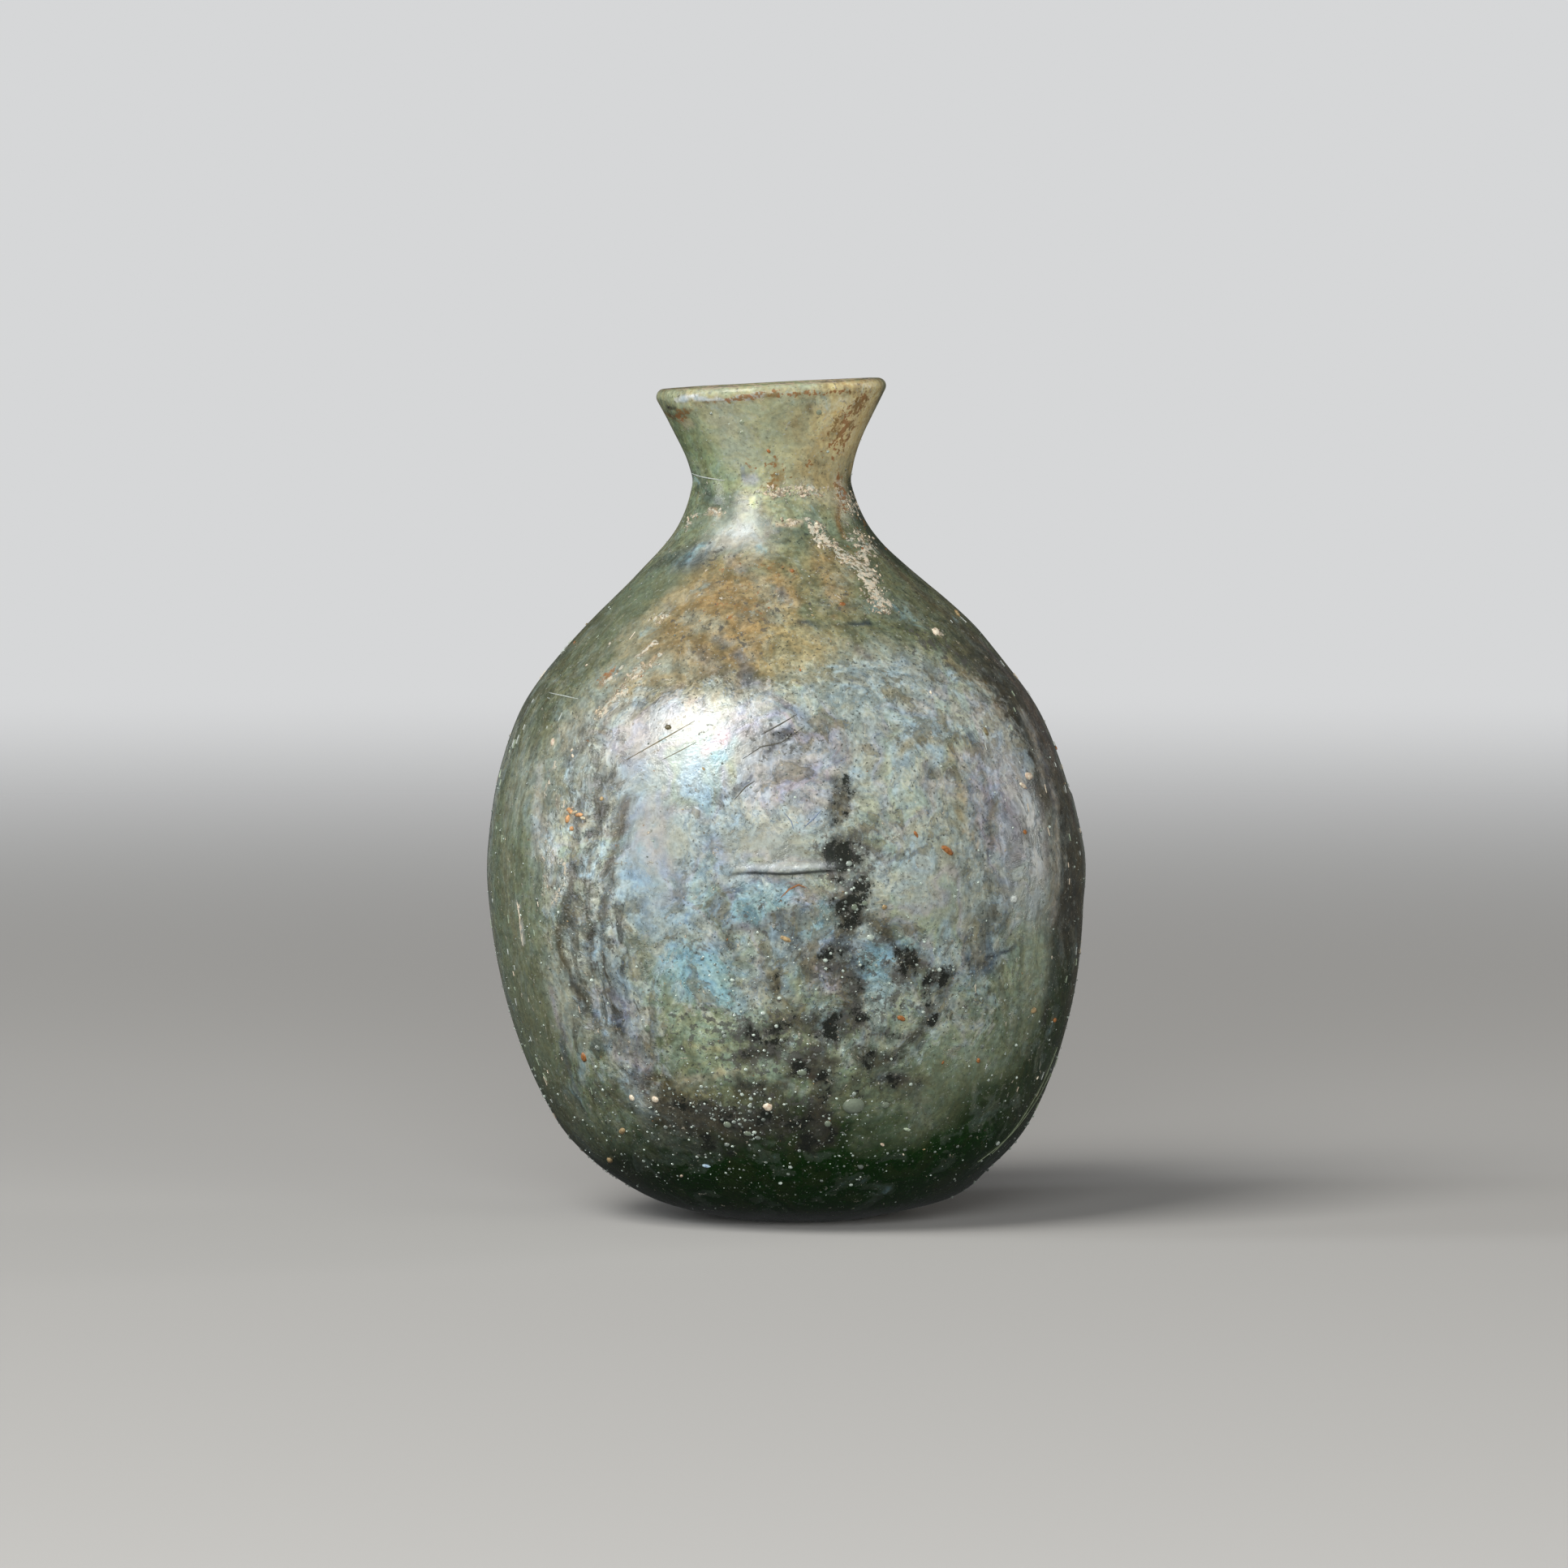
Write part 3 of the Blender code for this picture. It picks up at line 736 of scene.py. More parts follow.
# Where each kind of weathering lies: column, row, half width, half height, turn in degrees, strength.
# In the chains: half width, strength and the places along the chain.
FILM_PATCHES = [
    (960, 960, 230, 110, 0, 1.0),
    (820, 1060, 90, 130, 0, 1.0),
    (1150, 1050, 130, 170, 0, 1.0),
    (950, 1190, 140, 80, 0, 0.85),
    (1230, 950, 50, 100, -15, 0.9),
    (760, 1230, 50, 120, 5, 0.8),
    (700, 1060, 40, 110, 0, 0.75),
    (1130, 1240, 130, 70, 0, 0.7),
    (850, 890, 120, 50, 10, 1.0),
    (1120, 850, 90, 40, -10, 0.9),
]
FLAKED_PATCHES = [
    (1036, 978, 18, 28, 0, 0.70),
    (1026, 1005, 14, 16, 0, 0.55),
    (1040, 1056, 28, 26, 0, 1.10),
    (1050, 1083, 26, 18, 0, 0.90),
    (1046, 1118, 25, 22, 0, 1.15),
    (1046, 1095, 14, 40, 0, 0.75),
    (1076, 1135, 11, 8, 0, 0.75),
    (1092, 1150, 12, 13, 0, 0.70),
    (1114, 1183, 13, 18, -10, 0.85),
    (1158, 1206, 19, 16, 20, 0.95),
    (1148, 1253, 11, 12, 0, 0.85),
    (1026, 1181, 12, 11, 0, 0.75),
    (953, 1212, 9, 14, 0, 0.65),
    (1056, 1216, 13, 24, 0, 0.72),
    (1000, 1258, 14, 15, 0, 0.90),
    (1028, 1270, 24, 19, 20, 0.95),
    (1064, 1254, 8, 8, 0, 1.05),
    (928, 1272, 14, 15, 0, 0.90),
    (954, 1265, 12, 9, 0, 0.85),
    (926, 1301, 14, 13, 0, 0.90),
    (957, 1291, 22, 12, 5, 0.90),
    (990, 1314, 30, 14, 0, 0.90),
    (1060, 1225, 24, 34, 0, 0.72),
    (1125, 1185, 20, 26, 0, 0.72),
    (1095, 1275, 15, 6, -15, 0.80),
    (985, 1326, 20, 12, 0, 0.90),
    (1095, 1330, 26, 9, 0, 0.75),
    (830, 1356, 26, 16, 0, 0.65),
    (880, 1374, 52, 28, 0, 0.66),
    (950, 1388, 55, 28, 0, 0.70),
    (1005, 1388, 36, 30, 0, 0.90),
    (900, 1412, 60, 20, 0, 0.62),
    (1090, 1350, 40, 24, 0, 0.55),
    (1060, 1330, 16, 20, 0, 0.6),
    (905, 1205, 10, 10, 0, 0.6),
    (965, 908, 20, 7, 25, 0.85),
    (945, 925, 14, 6, 35, 0.65),
    (905, 975, 16, 5, 45, 0.65),
]
FLAKED_CHAINS = [
    (11, 0.62, [(1046, 1135), (1040, 1170), (1028, 1192)]),
    (9, 0.60, [(1060, 1128), (1085, 1145), (1105, 1165), (1130, 1190), (1165, 1206)]),
    (10, 0.62, [
        (1040, 1188), (1052, 1225), (1042, 1250), (1020, 1270), (985, 1256), (955, 1266), (925, 1275),
    ]),
    (10, 0.62, [(1024, 1268), (1010, 1300), (985, 1315), (950, 1295), (922, 1302)]),
    (12, 0.62, [(1010, 1296), (1018, 1340), (1002, 1384)]),
    (7, 0.55, [(1060, 1255), (1090, 1275), (1130, 1282)]),
    (8, 0.55, [(1152, 1212), (1146, 1250), (1130, 1278)]),
    (6, 0.50, [(900, 1150), (905, 1185), (930, 1210), (955, 1215)]),
    (7, 0.50, [(1034, 955), (1030, 1000), (1038, 1050)]),
    (8, 0.50, [(960, 1130), (985, 1160), (1000, 1200)]),
    (10, 0.50, [(1060, 1300), (1100, 1330), (1130, 1335)]),
    (12, 0.50, [(820, 1352), (860, 1390), (910, 1400)]),
    (9, 0.60, [(1072, 1290), (1092, 1304), (1112, 1298)]),
    (10, 0.60, [(915, 1334), (952, 1346)]),
]
FLECK_PATCHES = [
    (890, 770, 90, 80, 0, 0.72),
    (1030, 730, 60, 50, 0, 0.65),
    (1180, 810, 70, 40, -40, 0.85),
    (930, 1280, 140, 60, 0, 0.98),
    (1080, 1220, 90, 90, 0, 0.96),
    (730, 1090, 40, 150, 2, 0.75),
    (940, 1130, 90, 45, 0, 0.70),
    (1190, 1220, 60, 50, 0, 0.65),
    (950, 910, 70, 40, 0, 0.75),
    (870, 690, 40, 30, 0, 0.80),
    (1045, 1060, 50, 60, 0, 0.85),
    (1060, 840, 80, 40, 0, 0.55),
    (930, 1370, 120, 40, 0, 0.85),
]
CALM_PATCHES = [
    (800, 1035, 42, 75, 0, 1.0),
    (840, 926, 105, 48, 10, 1.0),
    (1265, 1050, 28, 90, -3, 0.9),
    (930, 530, 100, 55, 0, 0.75),
    (1160, 1110, 50, 40, 0, 0.6),
    (950, 1045, 60, 18, 0, 0.7),
    (900, 655, 50, 25, 0, 0.7),
    (780, 740, 50, 40, 30, 0.7),
    (630, 1080, 30, 160, 0, 0.5),
    (1060, 1460, 200, 40, 0, 0.6),
    (1180, 1340, 80, 50, 0, 0.5),
    (1060, 1405, 150, 40, 0, 0.5),
    (650, 1260, 40, 90, 0, 0.6),
    (1040, 560, 40, 60, 0, 0.6),
    (790, 760, 80, 60, 0, 0.5),
    (1290, 1180, 30, 120, 0, 0.5),
]
STREAK_PATCHES = [
    (724, 1090, 44, 190, 3, 1.0),
    (675, 1110, 26, 160, 2, 0.45),
    (755, 1200, 40, 150, 6, 1.0),
    (1250, 1080, 60, 180, -2, 0.5),
    (640, 1000, 30, 180, 0, 0.4),
    (620, 900, 20, 70, -15, 0.5),
    (720, 1320, 40, 70, 15, 0.8),
]
TEAL_PATCHES = [
    (860, 1200, 40, 34, 10, 1.0),
    (885, 1228, 36, 16, -20, 0.9),
    (1085, 1195, 26, 30, 0, 0.8),
    (1125, 1165, 18, 18, 0, 0.7),
    (935, 1115, 60, 22, 10, 0.8),
    (1010, 1140, 20, 22, 0, 0.8),
    (890, 930, 24, 10, 35, 0.7),
]
RUST_PATCHES = [
    (1040, 532, 18, 26, 25, 1.12),
    (1057, 505, 18, 14, 35, 1.12),
    (1028, 558, 12, 12, 0, 0.85),
    (955, 572, 14, 16, 0, 0.85),
    (946, 597, 16, 8, 0, 0.85),
    (920, 570, 8, 10, 0, 0.75),
    (1038, 608, 7, 30, 0, 1.0),
    (957, 590, 16, 12, 0, 0.85),
    (1000, 575, 10, 6, 0, 0.7),
    (985, 520, 7, 9, 0, 0.6),
    (915, 489, 50, 4, 4, 1.05),
    (1010, 483, 60, 3, 1, 0.9),
    (838, 506, 16, 8, 20, 1.05),
    (930, 700, 50, 10, 0, 0.55),
    (905, 745, 60, 30, 0, 0.5),
    (748, 832, 10, 12, 30, 0.95),
    (790, 832, 10, 4, 40, 0.9),
    (1060, 640, 12, 14, 0, 0.7),
    (1065, 690, 14, 20, 0, 0.6),
]
CRUST_PATCHES = [
    (1008, 652, 10, 9, 0, 0.8),
    (1022, 672, 14, 10, -30, 0.95),
    (1045, 690, 16, 9, -10, 0.9),
    (1062, 668, 12, 16, 20, 0.95),
    (1068, 705, 14, 14, 0, 1.0),
    (1078, 735, 12, 18, 0, 1.05),
    (1090, 748, 12, 9, 0, 0.9),
    (1050, 620, 10, 18, 0, 0.7),
    (990, 605, 34, 8, -6, 0.65),
    (960, 607, 22, 7, 6, 0.6),
    (880, 632, 16, 4, 2, 0.9),
    (970, 642, 18, 4, -4, 0.7),
    (812, 762, 12, 7, 35, 0.75),
    (790, 825, 22, 7, 30, 0.8),
    (762, 855, 18, 7, 45, 0.85),
    (740, 875, 8, 6, 45, 0.8),
    (1155, 778, 8, 5, 0, 0.85),
    (850, 640, 5, 10, -25, 0.7),
]
CRUST_CHAINS = [
    (8, 1.0, [(996, 644), (1009, 665), (1028, 677), (1040, 692), (1063, 696), (1071, 719), (1082, 746)]),
    (7, 0.9, [(1052, 650), (1058, 672), (1064, 696)]),
    (4, 0.8, [(930, 603), (975, 608), (1020, 600)]),
    (4, 0.8, [(824, 756), (807, 770)]),
    (5, 0.9, [(805, 792), (786, 808)]),
    (6, 0.9, [(809, 808), (796, 822), (782, 832)]),
    (6, 1.0, [(773, 848), (756, 862), (740, 881)]),
    (4, 0.8, [(767, 819), (742, 842)]),
    (3, 0.8, [(1150, 776), (1160, 780)]),
    (4, 0.8, [(672, 1035), (683, 1053), (697, 1067), (693, 1090), (682, 1117)]),
    (4, 0.7, [(664, 1045), (672, 1075), (668, 1100)]),
    (4, 0.7, [(685, 930), (677, 953), (672, 980)]),
    (4, 0.9, [(637, 1112), (641, 1135), (645, 1160)]),
]


# The back's colours by height. They also show faintly between the patches of the front.
BACK_COLOURS = [
    (0.0, DEEP_GREEN),
    (0.010, DARK_GREEN),
    (0.020, GREY_GREEN),
    (0.034, WARM_GREY),
    (0.050, SILVER),
    (0.070, OLIVE),
    (0.088, MILK_GREEN),
    (0.100, MILK_GREEN),
]
BACK_SHARE_IN_FRONT = 0.02
BACK_SHARE_BEHIND = 0.92

# How steeply a ground patch fades, and how much wider and stronger a flaked chain's smoky edge is
# than the chain itself.
GROUND_FALL = 1.6
SMOKY_WIDENING = 1.7
SMOKY_STRENGTH = 1.25


def back_colour(height):
    levels = [level for level, _ in BACK_COLOURS]
    channels = zip(*[colour for _, colour in BACK_COLOURS])
    return np.stack([np.interp(height, levels, channel) for channel in channels], axis=1)


def ground_colour(skin):
    """The painted colour of the wall, and where it is drawn by strokes instead of blended."""
    behind = 1 - ease(-np.sin(skin.azimuth), -0.15, 0.25)
    total = BACK_SHARE_IN_FRONT + (BACK_SHARE_BEHIND - BACK_SHARE_IN_FRONT) * behind
    blend = total[:, None] * back_colour(skin.height)
    for colour, places in GROUND_PATCHES:
        for place in places:
            weight = np.exp(-GROUND_FALL * skin.ellipse(*place) ** 2)
            blend += weight[:, None] * np.array(colour)
            total += weight
    ground = blend / total[:, None]
    smoky = [
        (DUSK, SMOKY_WIDENING * half_width, SMOKY_STRENGTH * strength, path)
        for half_width, strength, path in FLAKED_CHAINS
    ]
    drawn = np.zeros(len(skin.height))
    for colour, half_width, strength, path in STROKES + smoky:
        weight = strength * skin.stroke(path, half_width)
        ground += weight[:, None] * (np.array(colour) - ground)
        drawn = np.maximum(drawn, weight)
    return ground, drawn


def paint(skin):
    """The fields that the glass's material reads, by name. The back has plainer weathering by noise."""
    ground, drawn = ground_colour(skin)
    height = skin.height
    points = skin.turned_points()
    around = rough_field(points, 70, 11)
    spots = rough_field(points, 150, 12)
    back = 1 - ease(-np.sin(skin.azimuth), -0.2, 0.2)
    body = ease(height, 0.012, 0.024) * (1 - ease(height, 0.062, 0.070))
    back_body = back * body

    film = np.maximum(skin.patches(FILM_PATCHES), back_body * (0.55 + 0.5 * around))
    flaked = np.maximum(skin.patches(FLAKED_PATCHES, 0.7), back_body * (0.36 + 0.6 * spots))
    flaked = np.maximum(flaked, skin.chains(FLAKED_CHAINS))
    streaks = np.maximum(skin.patches(STREAK_PATCHES), back_body * (0.4 + 0.5 * around))
    rust = np.maximum(skin.patches(RUST_PATCHES, 0.5), back * 0.35 * ease(height, 0.062, 0.08))
    crust = np.maximum(skin.patches(CRUST_PATCHES, 0.6) * 0.85, skin.chains(CRUST_CHAINS))
    over_crease, crease_ends = crease_level(skin.azimuth, skin.arc)
    return {
        "ground": ground,
        "drawn": drawn,
        "film": np.clip(film, 0, 1),
        "calm": skin.patches(CALM_PATCHES),
        "flaked": np.clip(flaked, 0, 1.3),
        "flecks": np.maximum(skin.patches(FLECK_PATCHES), 0.55 * back_body),
        "streaks": np.clip(streaks, 0, 1),
        "teal": skin.patches(TEAL_PATCHES),
        "rust": rust,
        "crust": crust,
        "clear": 0.25 + 0.35 * (1 - ease(height, 0.006, 0.020)) - 0.10 * ease(height, 0.078, 0.086),
        "shade": crease_ends * crease_shade(over_crease),
        "pale": 0.50 * crease_ends * hill(over_crease - 0.00060, 0.00045),
    }


# The wall's mesh

def azimuths(count):
    """Azimuths round the wall, closest together at the front."""
    share = np.arange(count) / count - 0.5
    turned = share - CROWDING * np.sin(2 * math.pi * share) / (2 * math.pi)
    return -math.pi / 2 + 2 * math.pi * turned


# The sharp fold across the belly: its two ends in the frame, and how far its lip rises and its hollow
# sinks, in metres.
CREASE_LEFT = (900, 1076)
CREASE_RIGHT = (1035, 1073)
CREASE_DEPTH = 0.00030

# Rows are closer together at the fold and at the lip, by these shares, and over these arc lengths.
CREASE_CROWDING = 0.72
CREASE_REACH = 0.0030
LIP_CROWDING = 0.5
LIP_REACH = 0.004


def crease_level(azimuth, arc):
    """How far each point is above the fold across the belly, and how much of the fold is there."""
    left, left_height = spot(*CREASE_LEFT)
    right, right_height = spot(*CREASE_RIGHT)
    share = (azimuth - left) / (right - left)
    level = arc_at(left_height) + share * (arc_at(right_height) - arc_at(left_height))
    level = level + 0.00010 * np.sin(share * 9.0)
    near = (share > -0.2) & (share < 1.3)
    ends = ease(share, -0.12, 0.30) * (1 - ease(share, 0.78, 1.10)) * near
    return arc - level, ends


def crease_shade(over):
    """The dark line under the fold's lip, with a soft shadow that fades below it."""
    line = hill(over + 0.00008, 0.00013)
    below = 0.34 * (1 - ease(over, -0.00010, 0.00005)) * np.exp(np.minimum(over, 0.0) / 0.00055)
    return np.maximum(0.95 * line, below)


def crease_relief(azimuth, arc):
    """The short level fold: a pleated lip above a sharp hollow."""
    over, ends = crease_level(azimuth, arc)
    pleats = 0.75 + 0.25 * np.sin(azimuth * 420 + 2.0 * np.sin(azimuth * 130))
    lip = pleats * hill(over - 0.00042, 0.00045)
    below = 1 - ease(over, -0.00022, 0.00008)
    hollow = below * np.exp(np.minimum(over + 0.00022, 0.0) / 0.00110)
    return CREASE_DEPTH * ends * (lip - hollow)


def row_arcs(first, last):
    """Arc lengths of the rows of the outside."""
    crease_arc = arc_at(spot(*CREASE_LEFT)[1])
    arcs = [first]
    while arcs[-1] < last:
        near_crease = bump(arcs[-1] - crease_arc, CREASE_REACH)
        near_lip = ease(arcs[-1], last - LIP_REACH, last - LIP_REACH / 4)
        closer = (1 - CREASE_CROWDING * near_crease) * (1 - LIP_CROWDING * near_lip)
        arcs.append(arcs[-1] + FINE_SPACING * closer)
    arcs[-1] = last
    return np.array(arcs)


def half_round(outer_end, inner_end, steps):
    """The fire-rounded edge, from the outer face to the inner one."""
    middle = (outer_end + inner_end) / 2
    arm = outer_end - middle
    angles = math.pi * np.arange(1, steps) / steps
    across = arm[0] * np.cos(angles) - arm[1] * np.sin(angles)
    up = arm[0] * np.sin(angles) + arm[1] * np.cos(angles)
    return middle + np.stack([across, up], axis=1)


def points_along(line, arcs):
    """The points of a line at the given lengths along it."""
    line_arc = arc_of(line)
    return np.stack([np.interp(arcs, line_arc, line[:, i]) for i in range(2)], axis=1)


def wall_rows():
    """Radius and height of the wall's rows: base, outside, lip, and the inside's fine and coarse ones.

    The outside's rows come with their arc lengths from the base's middle.
    """
    under = np.linspace(0.0006, BASE_RADIUS - 0.0005, 14)
    base = np.stack([under, np.zeros(len(under))], axis=1)
    arcs = row_arcs(BASE_RADIUS, OUTSIDE_ARC[-1])
    outer = points_along(OUTSIDE, arcs - BASE_RADIUS)
    inner_line = OUTSIDE + INWARDS * wall_at(OUTSIDE[:, 1])[:, None]
    inner_line = inner_line[inner_line[:, 0] > BASE_RADIUS / 3][::-1]
    lip = half_round(outer[-1], inner_line[0], LIP_STEPS)
    mouth = points_along(inner_line, np.arange(0.0, MOUTH_DEPTH, FINE_SPACING))
    deep_arcs = np.arange(MOUTH_DEPTH + COARSE_SPACING, arc_of(inner_line)[-1], COARSE_SPACING)
    deep = points_along(inner_line, deep_arcs)
    return base, outer, lip, mouth, deep, arcs


def ring(rows, angles):
    """Points of turned rows: one block of len(angles) points for each row."""
    radius = np.repeat(rows[:, 0], len(angles))
    height = np.repeat(rows[:, 1], len(angles))
    angle = np.tile(angles, len(rows))
    return np.stack([radius * np.cos(angle), radius * np.sin(angle), height], axis=1)


def strip_faces(start, rows, count):
    """Quads between neighbouring rows of one block of points."""
    faces = []
    for i in range(rows - 1):
        low = start + i * count
        high = low + count
        for j in range(count):
            k = (j + 1) % count
            faces.append((low + j, low + k, high + k, high + j))
    return faces


# Low relief of the skin, all in metres: wide and narrow waves, lime crust, the shallow step under the
# shoulder, the bit rolled over at the lip's left end, the ring under the neck, and the rough scar under
# the base. The skin is sunk a little, so that none of it stands past the solid.
WIDE_WAVES = 0.00005
NARROW_WAVES = 0.00002
CRUST_RISE = 0.00016
STEP_TOP = 0.0515
STEP_RISE = 0.00022
ROLL = (836, 499)
ROLL_RISE = 0.00025
NECK_RING = (905, 640)
NECK_RING_RISE = 0.00022
SCAR_RADIUS = 0.0055
SCAR_WIDTH = 0.0013
SCAR_DEPTH = 0.00022
SUNK = 0.00006

# The rows over the lip are spread over this arc length.
LIP_ARC = 0.003


def raised_at(skin, place, reach_round, reach_up):
    """1 at a place in the frame, falling away round the wall and up it."""
    azimuth, height = spot(*place)
    return hill(skin.azimuth - azimuth, reach_round) * hill(skin.height - height, reach_up)


def relief(skin, points, crust):
    """How far each point of the skin stands out of the turned form. Nothing stands out under the foot."""
    stand = WIDE_WAVES * rough_field(points, 55, 21) + NARROW_WAVES * rough_field(points, 240, 22)
    stand += crease_relief(skin.azimuth, skin.arc)
    stand += CRUST_RISE * ease(crust, 0.40, 0.75) * (0.6 + 0.6 * rough_field(points, 900, 23))
    below = STEP_TOP - skin.height
    step = ease(below, 0.0, 0.0008) * (1 - ease(below, 0.0008, 0.0060))
    stand += STEP_RISE * step * (1 - ease(np.abs(turn_from(skin.azimuth, 0.0)), 0.25, 0.6))
    stand += ROLL_RISE * raised_at(skin, ROLL, 0.22, 0.0009)
    stand += NECK_RING_RISE * raised_at(skin, NECK_RING, 0.50, 0.0015) - SUNK
    on_base = skin.height < 0.00001
    scar = hill(np.hypot(points[:, 0], points[:, 1]) - SCAR_RADIUS, SCAR_WIDTH) * on_base
    stand -= SCAR_DEPTH * scar * (1 + 0.8 * rough_field(points, 700, 24))
    return np.where(skin.height < 0.0003, np.minimum(stand, 0.0), stand)


def wall_faces(fine_rows, deep_rows):
    """The faces between the fine rows, the deep inside rows, the base's middle and the floor's middle."""
    coarse = COLUMNS // COARSE_STEP
    last_fine = (fine_rows - 1) * COLUMNS
    first_deep = fine_rows * COLUMNS
    last_deep = first_deep + (deep_rows - 1) * coarse
    under = last_deep + coarse
    floor = under + 1
    faces = strip_faces(0, fine_rows, COLUMNS)
    for j in range(coarse):
        k = (j + 1) % coarse
        fan = [last_fine + (j * COARSE_STEP + step) % COLUMNS for step in range(COARSE_STEP + 1)]
        faces.append((*fan, first_deep + k, first_deep + j))
    faces += strip_faces(first_deep, deep_rows, coarse)
    faces += [(under, (j + 1) % COLUMNS, j) for j in range(COLUMNS)]
    faces += [(last_deep + j, last_deep + (j + 1) % coarse, floor) for j in range(coarse)]
    return faces


def inside_box(points):
    """The points, kept within the solid's own box."""
    return np.clip(points, np.array(CAD_BOX[0]), np.array(CAD_BOX[1]))


def placed(name, data):
    """An object of that mesh, light or camera, put into the scene."""
    made = bpy.data.objects.new(name, data)
    bpy.context.scene.collection.objects.link(made)
    return made


def write_field(mesh, name, values):
    """One number or one colour for each of the mesh's points."""
    if values.ndim == 2:
        layer = mesh.attributes.new(name, "FLOAT_COLOR", "POINT")
        colours = np.concatenate([values, np.ones((len(values), 1))], axis=1)
        layer.data.foreach_set("color", colours.astype(np.float32).ravel())
    else:
        layer = mesh.attributes.new(name, "FLOAT", "POINT")
        layer.data.foreach_set("value", values.astype(np.float32))


def build_wall():
    """The flask's glass: one wall, painted on the outside and over the lip, and in low relief."""
    angles = azimuths(COLUMNS)
    base, outer, lip, mouth, deep, arcs = wall_rows()
    rows = np.concatenate([base, outer, lip, mouth])
    points = ring(rows, angles)
    row_arc = np.concatenate([
        base[:, 0],
        arcs,
        arcs[-1] + np.linspace(0.0001, LIP_ARC - 0.0003, len(lip)),
        arcs[-1] + LIP_ARC + np.arange(len(mouth)) * FINE_SPACING,
    ])
    azimuth = np.tile(angles, len(rows))
    skin = Skin(azimuth, points[:, 2].copy(), np.repeat(row_arc, COLUMNS), points)
    fields = paint(skin)
    past_lip = skin.arc - arcs[-1]
    inside = ease(past_lip, 0.0008, 0.0015) * (1 - ease(past_lip, 0.004, 0.013))
    fields["inside"] = inside

    stand = relief(skin, points, fields["crust"] * (1 - inside))
    stand[-len(mouth) * COLUMNS:] = 0.0
    slope = np.gradient(rows, axis=0)
    slope /= np.hypot(*slope.T)[:, None]
    out = stand * np.repeat(slope[:, 1], COLUMNS)
    up = stand * np.repeat(-slope[:, 0], COLUMNS)
    points += np.stack([out * np.cos(azimuth), out * np.sin(azimuth), up], axis=1)

    middles = [[0.0, 0.0, 0.0], [0.0, 0.0, BASE_WALL]]
    whole = hand_moved(np.concatenate([points, ring(deep, angles[::COARSE_STEP]), middles]))
    mesh = bpy.data.meshes.new("flask_glass")
    mesh.from_pydata(inside_box(whole).tolist(), [], wall_faces(len(rows), len(deep)))
    mesh.update()
    unpainted = len(whole) - len(points)
    for name, values in fields.items():
        rest = np.zeros(unpainted) if values.ndim == 1 else np.tile(GREY_GREEN, (unpainted, 1))
        write_field(mesh, name, np.concatenate([values, rest]))
    mesh.shade_smooth()
    return placed("flask_glass", mesh)


# Material nodes

